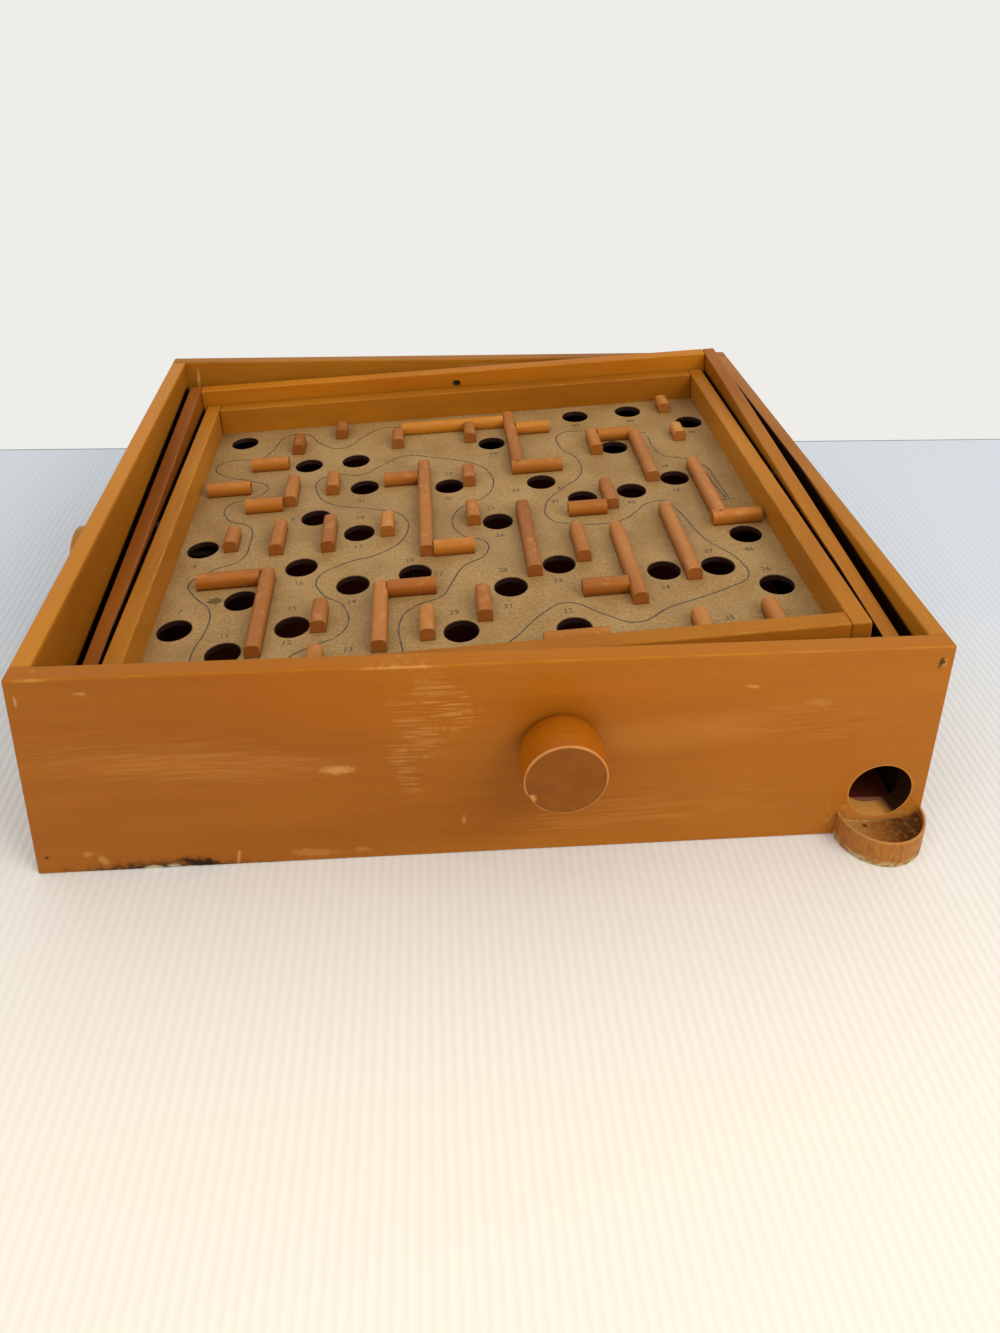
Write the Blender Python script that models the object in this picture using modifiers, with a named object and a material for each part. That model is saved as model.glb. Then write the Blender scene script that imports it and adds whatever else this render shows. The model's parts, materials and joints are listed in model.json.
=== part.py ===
"""A tilt maze game: a wooden case, two tilting frames one inside the other, and a maze board.

Metres, +Z up, front towards -Y. The origin is under the middle of the whole game, knobs included.
"""
import math

import bmesh
import bpy
from mathutils import Vector

# Clearances: between glued or resting pieces, around a pin, and what a cut runs past a face
SEAT_GAP = 0.0003
BORE_CLEARANCE = 0.0001
CUT_OVERRUN = 0.002
JOIN_SINK = 0.0003
MERGE_DISTANCE = 0.00001

# Case: four boards on edge, the front and back ones running the full width
CASE_WIDTH = 0.360
CASE_DEPTH = 0.320
CASE_HEIGHT = 0.094
PANEL_THICKNESS = 0.008
PANEL_EDGE_ROUND = 0.0008

# Tilt axes, and how the frames stand in the rest pose
PIVOT_BELOW_RIM = 0.0201
AXIS_SLOPE_DEG = 3.83
RING_TILT_DEG = -4.0
BOARD_TILT_DEG = -3.2

# Outer frame, a ring that tilts left and right on two pins in the front and back panels
RING_SIDE_GAP = 0.00335
RING_END_GAP = 0.0071
RING_RAIL_THICKNESS = 0.0075
RING_ABOVE_AXIS = 0.008
RING_BELOW_AXIS = 0.008
RING_EDGE_ROUND = 0.0006
SHAFT_RELIEF_WIDTH = 0.012
SHAFT_RELIEF_CLEARANCE = 0.0055

# Inner frame, which tilts front and back on two pins in the ring, and holds the maze board
INNER_SIDE_GAP = 0.00295
INNER_END_GAP = 0.0018
INNER_RAIL_THICKNESS = 0.0086
INNER_ABOVE_AXIS = 0.006
INNER_BELOW_AXIS = 0.0145
INNER_EDGE_ROUND = 0.0008
BOARD_BELOW_AXIS = 0.01045
BOARD_THICKNESS = 0.003
RABBET_WIDTH = 0.003

# Pivot pins
PIN_RADIUS = 0.0025
PANEL_PIN_DEPTH = 0.005
RING_PIN_RECESS = 0.003
INNER_PIN_DEPTH = 0.005
RING_PIN_INSET = 0.0004

# Maze: holes and glued bars, placed by shares of a cell of the open field
MAZE_COLUMNS = 12
MAZE_ROWS = 10
HOLE_RADIUS = 0.0078
WALL_WIDTH = 0.007
WALL_HEIGHT = 0.0066
WALL_CHAMFER = 0.0016

# Knobs and shafts
KNOB_RADIUS = 0.0158
KNOB_LENGTH = 0.0197
FRONT_KNOB_GAP = 0.0008
SIDE_KNOB_GAP = 0.0041
KNOB_FACE_ROUND = 0.001
KNOB_BACK_ROUND = 0.0014
KNOB_BORE_DEPTH = 0.014
SHAFT_RADIUS = 0.002
FRONT_KNOB_RIGHT = 0.025
FRONT_KNOB_BELOW_RIM = 0.039
SIDE_KNOB_BACK = 0.004
SIDE_SHAFT_UNDER_FRAME = 0.0024
FRONT_SHAFT_REACH = 0.0135
SIDE_SHAFT_SEAT_DEPTH = 0.005
BEARING_RADIUS = 0.008
BEARING_LENGTH = 0.0047

# Cord turns on the shafts, cords and springs to the frames
TURNS_RADIUS = 0.0037
TURNS_LENGTH = 0.0065
FRONT_TURNS_FROM_PANEL = 0.0055
SIDE_TURNS_LEFT = 0.030
CORD_RADIUS = 0.0005
SPRING_RADIUS = 0.002
SPRING_LENGTH = 0.018
FRONT_TIE_INSET_LEFT = 0.0487
FRONT_TIE_INSET_RIGHT = 0.0387
FRONT_CORD_LINE_INSET = 0.0036
SIDE_TIE_INSET = 0.0028

# Return floor, which slopes to the outlet hole at the right of the front panel
OUTLET_RADIUS = 0.0133
OUTLET_HEIGHT = 0.0223
OUTLET_FROM_SIDE = 0.0196
FLOOR_THICKNESS = 0.003
FLOOR_LOW_HEIGHT = 0.0095
FLOOR_RISE_TO_LEFT = 0.012
FLOOR_RISE_TO_BACK = 0.008
LEDGE_WIDTH = 0.008
LEDGE_HEIGHT = 0.005

# Ball cup, a half round block with a pocket, glued under the outlet
CUP_RADIUS = 0.0183
CUP_WALL = 0.0033
CUP_HEIGHT = 0.0114
CUP_FLOOR = 0.003
CUP_SIDE_INSET = 0.0002

# Sides of the round pieces
PIN_SIDES = 24
HOLE_SIDES = 20
KNOB_SIDES = 40
CUP_SIDES = 64
SPRING_SIDES = 12
ROUND_STEPS = 4
SMOOTH_ANGLE_DEG = 40

# Holes of the maze, each as column and row shares of a cell from the middle of the field
HOLE_SHARES = (
    (-5.35, 4.4), (-3.65, 2.95), (-2.55, 3.0), (-2.3, 1.7), (-3.3, 0.55), (-5.55, -0.35),
    (-2.35, -0.2), (-3.45, -1.3), (-2.4, -2.05), (-4.5, -2.25), (-5.6, -3.0), (-3.45, -3.2),
    (-4.6, -3.8), (-1.2, -1.85), (-0.4, 1.45), (0.7, 3.35), (0.55, -0.2), (1.65, 1.3),
    (0.6, -2.55), (-0.4, -3.75), (1.6, -1.95), (2.9, 4.45), (4.25, 4.5), (5.6, 3.65),
    (3.55, 2.65), (2.45, 0.45), (3.55, 0.6), (4.6, 1.0), (5.45, -1.45), (3.55, -2.45),
    (4.6, -2.45), (5.5, -3.2), (1.6, -3.95),
)

# Bars of the maze, each from one end to the other; bars that meet stand in one row
WALL_SHARES = (
    ((1.2, 4.5, 1.2, 1.85), (-1.45, 4.25, 1.2, 4.25), (0.2, 4.25, 0.2, 3.45),
     (1.2, 3.8, 2.15, 3.8), (1.05, 1.85, 2.2, 1.85)),
    ((-3.9, 2.05, -3.9, 1.1), (-4.85, 1.05, -4.0, 1.05)),
    ((-0.95, 2.3, -0.95, -1.3), (-1.85, 1.75, -0.95, 1.75), (-0.95, -1.2, 0.0, -1.2)),
    ((-4.05, -1.6, -4.05, -4.0), (-5.4, -1.7, -4.05, -1.7)),
    ((-1.85, -2.35, -1.85, -4.15), (-1.85, -2.45, -0.8, -2.45)),
    ((3.1, 3.2, 3.1, 2.35), (3.1, 3.1, 4.1, 3.1), (4.1, 3.1, 4.1, 0.9)),
    ((3.0, 0.8, 3.0, -0.1), (2.05, -0.15, 2.9, -0.15)),
    ((5.1, 1.4, 5.1, -0.95), (4.9, -0.95, 5.9, -0.95)),
    ((2.9, -1.0, 2.9, -3.45), (1.9, -2.95, 2.9, -2.95)),
    ((-3.95, 4.15, -3.95, 3.55),),
    ((-1.55, 4.05, -1.55, 3.45),),
    ((-3.0, 2.1, -3.0, 1.45),),
    ((0.05, 1.95, 0.05, 1.35),),
    ((0.05, 0.35, 0.05, -0.3),),
    ((-4.95, 0.05, -4.95, -0.55),),
    ((-4.0, 0.2, -4.0, -0.8),),
    ((-2.95, 0.2, -2.95, -0.85),),
    ((-1.75, 0.15, -1.75, -0.45),),
    ((1.1, 0.15, 1.1, -2.3),),
    ((2.1, -0.9, 2.1, -1.95),),
    ((-2.95, -2.75, -2.95, -3.45),),
    ((-1.0, -3.25, -1.0, -3.95),),
    ((0.05, -2.75, 0.05, -3.55),),
    ((5.15, 3.2, 5.15, 2.7),),
    ((4.05, -0.4, 4.05, -2.85),),
    ((-4.95, 2.95, -4.1, 2.95),),
)

# Short bars at the rim of the field, made in one with the board
RIM_WALL_SHARES = (
    (-5.8, 1.9, -4.85, 1.9), (-2.95, 4.7, -2.95, 4.2), (5.15, 4.75, 5.15, 4.25),
    (-2.95, -4.1, -2.95, -4.9), (1.0, -4.4, 2.15, -4.4), (3.8, -4.0, 3.8, -4.9),
    (5.1, -3.9, 5.1, -4.9),
)

# Looks: base colour, roughness, metallic
VARNISHED_PINE = ((0.60, 0.30, 0.09), 0.45, 0.0)
WORN_PINE = ((0.66, 0.38, 0.15), 0.55, 0.0)
TURNED_BEECH = ((0.52, 0.24, 0.08), 0.5, 0.0)
STAINED_BEECH = ((0.50, 0.22, 0.10), 0.55, 0.0)
HARDBOARD = ((0.46, 0.35, 0.20), 0.7, 0.0)
STEEL = ((0.55, 0.55, 0.55), 0.35, 1.0)
CORD = ((0.10, 0.09, 0.08), 0.9, 0.0)

# Sizes worked out from the ones above
case_half_width = CASE_WIDTH / 2
case_half_depth = CASE_DEPTH / 2
inside_half_width = case_half_width - PANEL_THICKNESS
inside_half_depth = case_half_depth - PANEL_THICKNESS
ring_half_width = inside_half_width - RING_SIDE_GAP
ring_half_depth = inside_half_depth - RING_END_GAP
ring_open_half_width = ring_half_width - RING_RAIL_THICKNESS
ring_open_half_depth = ring_half_depth - RING_RAIL_THICKNESS
inner_half_width = ring_open_half_width - INNER_SIDE_GAP
inner_half_depth = ring_open_half_depth - INNER_END_GAP
field_half_width = inner_half_width - INNER_RAIL_THICKNESS
field_half_depth = inner_half_depth - INNER_RAIL_THICKNESS
cell_width = 2 * field_half_width / MAZE_COLUMNS
cell_depth = 2 * field_half_depth / MAZE_ROWS
bore_radius = PIN_RADIUS + BORE_CLEARANCE
shaft_bore_radius = SHAFT_RADIUS + BORE_CLEARANCE
front_shaft_height = CASE_HEIGHT - FRONT_KNOB_BELOW_RIM
frame_drop = inner_half_width * math.sin(math.radians(abs(RING_TILT_DEG))) + INNER_BELOW_AXIS
side_shaft_height = CASE_HEIGHT - PIVOT_BELOW_RIM - frame_drop - SIDE_SHAFT_UNDER_FRAME - SHAFT_RADIUS


def clear_scene():
    for old in list(bpy.data.objects):
        bpy.data.objects.remove(old, do_unlink=True)


def new_collection(name):
    collection = bpy.data.collections.new(name)
    bpy.context.scene.collection.children.link(collection)
    return collection


def give_material(piece, look):
    colour, roughness, metallic = look
    material = bpy.data.materials.new(piece.name + "_material")
    material.use_nodes = True
    shader = material.node_tree.nodes["Principled BSDF"]
    shader.inputs["Base Color"].default_value = (*colour, 1.0)
    shader.inputs["Roughness"].default_value = roughness
    shader.inputs["Metallic"].default_value = metallic
    piece.data.materials.append(material)


def place(name, data, parent, location, rotation=(0.0, 0.0, 0.0), look=None):
    """Puts mesh or curve data under a parent: a piece when it has a look, a cutter when not."""
    piece = bpy.data.objects.new(name, data)
    (cutters if look is None else parts).objects.link(piece)
    piece.parent = parent
    piece.location = location
    piece.rotation_euler = rotation
    if look is None:
        piece.hide_render = True
        piece.display_type = "WIRE"
    else:
        give_material(piece, look)
    return piece


def axis_empty(name, parent, location, rotation=(0.0, 0.0, 0.0)):
    axis = bpy.data.objects.new(name, None)
    parts.objects.link(axis)
    axis.parent = parent
    axis.location = location
    axis.rotation_euler = rotation
    return axis


def mesh_from(bm, name):
    mesh = bpy.data.meshes.new(name)
    bm.to_mesh(mesh)
    bm.free()
    return mesh


def block_mesh(name, size):
    bm = bmesh.new()
    bmesh.ops.create_cube(bm, size=1.0)
    bmesh.ops.scale(bm, vec=Vector(size), verts=bm.verts)
    return mesh_from(bm, name)


def rod_mesh(name, radius, length, sides):
    bm = bmesh.new()
    bmesh.ops.create_cone(bm, cap_ends=True, segments=sides, radius1=radius, radius2=radius, depth=length)
    mesh = mesh_from(bm, name)
    smooth(mesh)
    return mesh


def smooth(mesh):
    mesh.shade_smooth()
    mesh.set_sharp_from_angle(angle=math.radians(SMOOTH_ANGLE_DEG))


def block(name, parent, low, high, look=None, edge_round=0.0):
    """A block between two corners, with its edges rounded where asked."""
    low, high = Vector(low), Vector(high)
    piece = place(name, block_mesh(name, high - low), parent, (low + high) / 2, look=look)
    if edge_round > 0:
        bevel = piece.modifiers.new("edges", "BEVEL")
        bevel.width = edge_round
        bevel.segments = 1
    return piece


TURN_TO = {"X": (0.0, math.pi / 2, 0.0), "Y": (-math.pi / 2, 0.0, 0.0), "Z": (0.0, 0.0, 0.0)}


def rod(name, parent, axis, start, stop, across, radius, look=None, sides=PIN_SIDES):
    """A rod along X, Y or Z from start to stop; across is its place on the other two axes."""
    centre = list(across)
    centre.insert("XYZ".index(axis), (start + stop) / 2)
    mesh = rod_mesh(name, radius, abs(stop - start), sides)
    return place(name, mesh, parent, centre, TURN_TO[axis], look)


def combine(piece, tool, operation="DIFFERENCE"):
    boolean = piece.modifiers.new(tool.name, "BOOLEAN")
    boolean.operation = operation
    boolean.object = tool
    boolean.solver = "EXACT"


def turned(name, parent, profile, location, rotation, look, sides=KNOB_SIDES):
    """A turned piece: a profile at +X, from the top down its outer side, spun about Z."""
    mesh = bpy.data.meshes.new(name)
    edges = [(index, index + 1) for index in range(len(profile) - 1)]
    mesh.from_pydata([(radius, 0.0, height) for radius, height in profile], edges, [])
    piece = place(name, mesh, parent, location, rotation, look)
    screw = piece.modifiers.new("turning", "SCREW")
    screw.steps = sides
    screw.render_steps = sides
    screw.use_merge_vertices = True
    screw.merge_threshold = MERGE_DISTANCE
    screw.use_smooth_shade = True
    return piece


def tube(name, parent, points, radius, look, sides_resolution=2):
    """A round cord along a short list of points, in the parent's own frame."""
    curve = bpy.data.curves.new(name, "CURVE")
    curve.dimensions = "3D"
    curve.bevel_depth = radius
    curve.bevel_resolution = sides_resolution
    curve.use_fill_caps = True
    line = curve.splines.new("POLY")
    line.points.add(len(points) - 1)
    for spot, point in zip(line.points, points):
        spot.co = (*point, 1.0)
    return place(name, curve, parent, (0.0, 0.0, 0.0), look=look)


def seen_from(frame, point):
    """A point of the datum's frame, given in another empty's own frame."""
    bpy.context.view_layer.update()
    return frame.matrix_world.inverted() @ datum.matrix_world @ Vector(point)


def arc(centre_radius, centre_height, radius, from_deg, to_deg):
    """Points of a quarter round in a turned profile."""
    spots = []
    for step in range(ROUND_STEPS + 1):
        angle = math.radians(from_deg + (to_deg - from_deg) * step / ROUND_STEPS)
        spots.append((centre_radius + radius * math.cos(angle), centre_height + radius * math.sin(angle)))
    return spots


clear_scene()
parts = new_collection("tilt_maze_game")
cutters = new_collection("cutters")

# Everything hangs from one datum: the middle of the case's underside
datum_place = ((KNOB_LENGTH + SIDE_KNOB_GAP) / 2, (KNOB_LENGTH + FRONT_KNOB_GAP) / 2, 0.0)
datum = axis_empty("case_datum", None, datum_place)
crossing = (0.0, 0.0, CASE_HEIGHT - PIVOT_BELOW_RIM)
slope = axis_empty("axis_slope", datum, crossing, (math.radians(AXIS_SLOPE_DEG), 0.0, 0.0))
ring_axis = axis_empty("ring_axis", slope, (0.0, 0.0, 0.0), (0.0, math.radians(RING_TILT_DEG), 0.0))
board_axis = axis_empty("board_axis", ring_axis, (0.0, 0.0, 0.0), (math.radians(BOARD_TILT_DEG), 0.0, 0.0))


def case_panels():
    """Front and back boards, with the side boards butted between them."""
    panels = {}
    for name, side in (("front_panel", -1), ("back_panel", 1)):
        faces = sorted((side * case_half_depth, side * inside_half_depth))
        panels[name] = block(name, datum, (-case_half_width, faces[0], 0.0),
                             (case_half_width, faces[1], CASE_HEIGHT), VARNISHED_PINE, PANEL_EDGE_ROUND)
    side_half_length = inside_half_depth - SEAT_GAP
    for name, side in (("left_panel", -1), ("right_panel", 1)):
        faces = sorted((side * case_half_width, side * inside_half_width))
        panels[name] = block(name, datum, (faces[0], -side_half_length, 0.0),
                             (faces[1], side_half_length, CASE_HEIGHT), VARNISHED_PINE, PANEL_EDGE_ROUND)
    return panels


def pivot_pins(panels):
    """Two pins on the outer frame's axis, each driven into a blind bore in its panel."""
    outer_end = inside_half_depth + PANEL_PIN_DEPTH
    inner_end = ring_open_half_depth + RING_PIN_RECESS
    for name, side in (("front", -1), ("back", 1)):
        bore = rod(name + "_pin_bore", slope, "Y", side * inner_end, side * outer_end,
                   (0.0, 0.0), bore_radius)
        combine(panels[name + "_panel"], bore)
        rod(name + "_pivot_pin", slope, "Y", side * inner_end, side * (outer_end - SEAT_GAP),
            (0.0, 0.0), PIN_RADIUS, STEEL)


def outer_frame():
    """Four rails: the side ones run full length, and the others fit between them."""
    rails = {}
    low, high = -RING_BELOW_AXIS, RING_ABOVE_AXIS
    end_half_width = ring_open_half_width - SEAT_GAP
    for name, side in (("outer_frame_left", -1), ("outer_frame_right", 1)):
        faces = sorted((side * ring_half_width, side * ring_open_half_width))
        rails[name] = block(name, ring_axis, (faces[0], -ring_half_depth, low),
                            (faces[1], ring_half_depth, high), VARNISHED_PINE, RING_EDGE_ROUND)
    for name, side in (("outer_frame_front", -1), ("outer_frame_back", 1)):
        faces = sorted((side * ring_half_depth, side * ring_open_half_depth))
        rails[name] = block(name, ring_axis, (-end_half_width, faces[0], low),
                            (end_half_width, faces[1], high), VARNISHED_PINE, RING_EDGE_ROUND)
        bore = rod(name + "_bore", ring_axis, "Y", side * (ring_half_depth + CUT_OVERRUN),
                   side * (ring_open_half_depth - CUT_OVERRUN), (0.0, 0.0), bore_radius)
        combine(rails[name], bore)
    shaft = seen_from(ring_axis, (FRONT_KNOB_RIGHT, -ring_half_depth, front_shaft_height))
    relief_half = SHAFT_RELIEF_WIDTH / 2
    relief = block("shaft_relief", ring_axis,
                   (shaft.x - relief_half, -ring_half_depth - CUT_OVERRUN, low - CUT_OVERRUN),
                   (shaft.x + relief_half, -ring_open_half_depth + CUT_OVERRUN,
                    shaft.z + TURNS_RADIUS + SHAFT_RELIEF_CLEARANCE))
    combine(rails["outer_frame_front"], relief)
    return rails


def inner_frame():
    """Four rails with a rabbet along their lower inner edges, which the board sits up into."""
    rails = {}
    low, high = -INNER_BELOW_AXIS, INNER_ABOVE_AXIS
    end_half_width = field_half_width - SEAT_GAP
    for name, side in (("inner_frame_left", -1), ("inner_frame_right", 1)):
        faces = sorted((side * inner_half_width, side * field_half_width))
        rails[name] = block(name, board_axis, (faces[0], -inner_half_depth, low),
                            (faces[1], inner_half_depth, high), WORN_PINE, INNER_EDGE_ROUND)
    for name, side in (("inner_frame_front", -1), ("inner_frame_back", 1)):
        faces = sorted((side * inner_half_depth, side * field_half_depth))
        rails[name] = block(name, board_axis, (-end_half_width, faces[0], low),
                            (end_half_width, faces[1], high), WORN_PINE, INNER_EDGE_ROUND)
    rabbet_half = Vector((field_half_width + RABBET_WIDTH, field_half_depth + RABBET_WIDTH))
    rabbet = block("board_rabbet", board_axis, (*-rabbet_half, low - CUT_OVERRUN),
                   (*rabbet_half, SEAT_GAP - BOARD_BELOW_AXIS))
    for rail in rails.values():
        combine(rail, rabbet)
    return rails


def tilt_pins(ring_rails, inner_rails):
    """Two pins on the inner frame's axis, driven through the ring into blind bores."""
    inner_end = inner_half_width - INNER_PIN_DEPTH
    outer_end = ring_half_width - RING_PIN_INSET
    for name, side in (("left", -1), ("right", 1)):
        ring_bore = rod(name + "_ring_bore", ring_axis, "X", side * (ring_half_width + CUT_OVERRUN),
                        side * inner_half_width, (0.0, 0.0), bore_radius)
        combine(ring_rails["outer_frame_" + name], ring_bore)
        inner_bore = rod(name + "_inner_bore", board_axis, "X", side * ring_open_half_width,
                         side * (inner_end - SEAT_GAP), (0.0, 0.0), bore_radius)
        combine(inner_rails["inner_frame_" + name], inner_bore)
        rod(name + "_tilt_pin", ring_axis, "X", side * inner_end, side * outer_end,
            (0.0, 0.0), PIN_RADIUS, STEEL)


def bar_mesh(name, shares, sink=0.0):
    """A straight bar standing on the board's face, its long top edges chamfered."""
    start = Vector((shares[0] * cell_width, shares[1] * cell_depth))
    stop = Vector((shares[2] * cell_width, shares[3] * cell_depth))
    run = stop - start
    along_x = abs(run.x) > abs(run.y)
    size = (run.length, WALL_WIDTH, WALL_HEIGHT) if along_x else (WALL_WIDTH, run.length, WALL_HEIGHT)
    bm = bmesh.new()
    bmesh.ops.create_cube(bm, size=1.0)
    bmesh.ops.scale(bm, vec=Vector(size), verts=bm.verts)
    middle = (start + stop) / 2
    base = SEAT_GAP - sink
    bmesh.ops.translate(bm, vec=(middle.x, middle.y, base + WALL_HEIGHT / 2), verts=bm.verts)
    top = base + WALL_HEIGHT / 2
    long_edges = [edge for edge in bm.edges if all(vert.co.z > top for vert in edge.verts)
                  and abs((edge.verts[0].co - edge.verts[1].co).length - run.length) < MERGE_DISTANCE]
    bmesh.ops.bevel(bm, geom=long_edges, offset=WALL_CHAMFER, segments=1, affect="EDGES")
    return mesh_from(bm, name)


def maze_walls():
    """The glued bars, as single bars and as groups that meet."""
    for index, group in enumerate(WALL_SHARES):
        name = f"maze_wall_{index + 1:02d}"
        height = (0.0, 0.0, -BOARD_BELOW_AXIS)
        wall = place(name, bar_mesh(name, group[0]), board_axis, height, look=STAINED_BEECH)
        for number, shares in enumerate(group[1:]):
            part_name = f"{name}_arm_{number + 1}"
            arm = place(part_name, bar_mesh(part_name, shares), board_axis, height)
            combine(wall, arm, "UNION")


def maze_board():
    """Hardboard let into the inner frame, with the drilled holes and the bars at its rim."""
    half = Vector((field_half_width + RABBET_WIDTH - SEAT_GAP, field_half_depth + RABBET_WIDTH - SEAT_GAP))
    low = -BOARD_BELOW_AXIS - BOARD_THICKNESS
    board = block("maze_board", board_axis, (*-half, low), (*half, -BOARD_BELOW_AXIS), HARDBOARD)
    bm = bmesh.new()
    for column, row in HOLE_SHARES:
        made = bmesh.ops.create_cone(bm, cap_ends=True, segments=HOLE_SIDES, radius1=HOLE_RADIUS,
                                     radius2=HOLE_RADIUS, depth=BOARD_THICKNESS + 2 * CUT_OVERRUN)
        bmesh.ops.translate(bm, vec=(column * cell_width, row * cell_depth, 0.0), verts=made["verts"])
    middle = (0.0, 0.0, low + BOARD_THICKNESS / 2)
    combine(board, place("maze_holes", mesh_from(bm, "maze_holes"), board_axis, middle))
    for index, shares in enumerate(RIM_WALL_SHARES):
        name = f"rim_wall_{index + 1}"
        bar = place(name, bar_mesh(name, shares, SEAT_GAP + JOIN_SINK), board_axis,
                    (0.0, 0.0, -BOARD_BELOW_AXIS))
        combine(board, bar, "UNION")


def return_floor(panels):
    """A sloping board on two ledges, low at the outlet hole in the front panel."""
    slope_to_left = math.atan2(FLOOR_RISE_TO_LEFT, 2 * inside_half_width)
    slope_to_back = math.atan2(FLOOR_RISE_TO_BACK, 2 * inside_half_depth)
    height = FLOOR_LOW_HEIGHT + (FLOOR_RISE_TO_LEFT + FLOOR_RISE_TO_BACK) / 2
    top = axis_empty("floor_top", datum, (0.0, 0.0, height), (slope_to_back, slope_to_left, 0.0))
    half_width = inside_half_width - SEAT_GAP
    half_depth = inside_half_depth - SEAT_GAP
    block("return_floor", top, (-half_width, -half_depth, -FLOOR_THICKNESS),
          (half_width, half_depth, 0.0), VARNISHED_PINE)
    ledge_top = -FLOOR_THICKNESS - SEAT_GAP
    for name, side in (("left_floor_ledge", -1), ("right_floor_ledge", 1)):
        faces = sorted((side * (half_width - SEAT_GAP), side * (half_width - LEDGE_WIDTH)))
        block(name, top, (faces[0], -half_depth, ledge_top - LEDGE_HEIGHT),
              (faces[1], half_depth, ledge_top), VARNISHED_PINE)
    outlet = rod("outlet_cut", datum, "Y", -case_half_depth - CUT_OVERRUN, -inside_half_depth + CUT_OVERRUN,
                 (case_half_width - OUTLET_FROM_SIDE, OUTLET_HEIGHT), OUTLET_RADIUS, sides=KNOB_SIDES)
    combine(panels["front_panel"], outlet)


def ball_cup():
    """A half round block against the front panel, hollowed from above."""
    right = case_half_width - CUP_RADIUS - CUP_SIDE_INSET
    cup = rod("ball_cup", datum, "Z", 0.0, CUP_HEIGHT, (right, -case_half_depth - SEAT_GAP),
              CUP_RADIUS, TURNED_BEECH, CUP_SIDES)
    behind = block("cup_back_cut", datum, (right - CUP_RADIUS - CUT_OVERRUN, -case_half_depth - SEAT_GAP,
                                           -CUT_OVERRUN),
                   (right + CUP_RADIUS + CUT_OVERRUN, -case_half_depth + CUP_RADIUS + CUT_OVERRUN,
                    CUP_HEIGHT + CUT_OVERRUN))
    pocket = rod("cup_pocket_cut", datum, "Z", CUP_FLOOR, CUP_HEIGHT + CUT_OVERRUN,
                 (right, -case_half_depth - SEAT_GAP), CUP_RADIUS - CUP_WALL, sides=CUP_SIDES)
    combine(cup, behind)
    combine(cup, pocket)


def knob_profile():
    """From the middle of the worn face, round the rim, to the back face; Z leaves the panel."""
    face, back = KNOB_LENGTH, 0.0
    spots = [(0.0, face)]
    spots += arc(KNOB_RADIUS - KNOB_FACE_ROUND, face - KNOB_FACE_ROUND, KNOB_FACE_ROUND, 90, 0)
    spots += arc(KNOB_RADIUS - KNOB_BACK_ROUND, back + KNOB_BACK_ROUND, KNOB_BACK_ROUND, 0, -90)
    return spots + [(0.0, back)]


def knob_with_shaft(name, axis, panel_face, gap, across, shaft_stop, turns, panel, look):
    """A turned knob on a steel rod, with the cord's turns round the rod inside the case."""
    centre = list(across)
    centre.insert("XYZ".index(axis), panel_face - gap)
    outward = {"X": (0.0, -math.pi / 2, 0.0), "Y": (math.pi / 2, 0.0, 0.0)}[axis]
    knob = turned(name + "_knob", datum, knob_profile(), centre, outward, look)
    bore_end = panel_face - gap - KNOB_BORE_DEPTH
    bore = rod(name + "_shaft_bore", datum, axis, bore_end, panel_face + PANEL_THICKNESS + CUT_OVERRUN,
               across, shaft_bore_radius)
    combine(knob, bore)
    combine(panel, bore)
    rod(name + "_shaft", datum, axis, bore_end + SEAT_GAP, shaft_stop, across, SHAFT_RADIUS, STEEL)
    wound = rod(name + "_cord_turns", datum, axis, turns, turns + TURNS_LENGTH, across, TURNS_RADIUS, CORD)
    combine(wound, rod(name + "_turns_bore", datum, axis, turns - CUT_OVERRUN,
                       turns + TURNS_LENGTH + CUT_OVERRUN, across, shaft_bore_radius))


def front_drive(panels):
    """The front knob, which tilts the outer frame; its short shaft ends clear of the inner frame."""
    across = (FRONT_KNOB_RIGHT, front_shaft_height)
    turns = -inside_half_depth + FRONT_TURNS_FROM_PANEL
    knob_with_shaft("front", "Y", -case_half_depth, FRONT_KNOB_GAP, across,
                    -inside_half_depth + FRONT_SHAFT_REACH, turns, panels["front_panel"], TURNED_BEECH)
    start = -inside_half_depth + SEAT_GAP
    bearing = rod("front_shaft_bearing", datum, "Y", start, start + BEARING_LENGTH, across,
                  BEARING_RADIUS, TURNED_BEECH)
    combine(bearing, rod("bearing_bore", datum, "Y", start - CUT_OVERRUN, start + BEARING_LENGTH + CUT_OVERRUN,
                         across, shaft_bore_radius))


def side_drive(panels):
    """The side knob, which tilts the inner frame; its shaft runs under the board to the far panel."""
    across = (SIDE_KNOB_BACK, side_shaft_height)
    seat_end = inside_half_width + SIDE_SHAFT_SEAT_DEPTH
    knob_with_shaft("side", "X", -case_half_width, SIDE_KNOB_GAP, across, seat_end - SEAT_GAP,
                    -SIDE_TURNS_LEFT - TURNS_LENGTH / 2, panels["left_panel"], TURNED_BEECH)
    seat = rod("side_shaft_seat", datum, "X", inside_half_width - CUT_OVERRUN, seat_end, across,
               shaft_bore_radius)
    combine(panels["right_panel"], seat)


def cords_between(name, starts, ties, far_name):
    """Two cords from the shaft's turns to their ties, the second one with a spring at its end."""
    tube(name + "_cord_" + far_name[0], datum, (starts[0], ties[0]), CORD_RADIUS, CORD)
    run = ties[1] - starts[1]
    hook = ties[1] - run.normalized() * SPRING_LENGTH
    tube(name + "_cord_" + far_name[1], datum, (starts[1], hook - run.normalized() * SEAT_GAP),
         CORD_RADIUS, CORD)
    tube(name + "_spring", datum, (hook, ties[1]), SPRING_RADIUS, STEEL)


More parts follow.
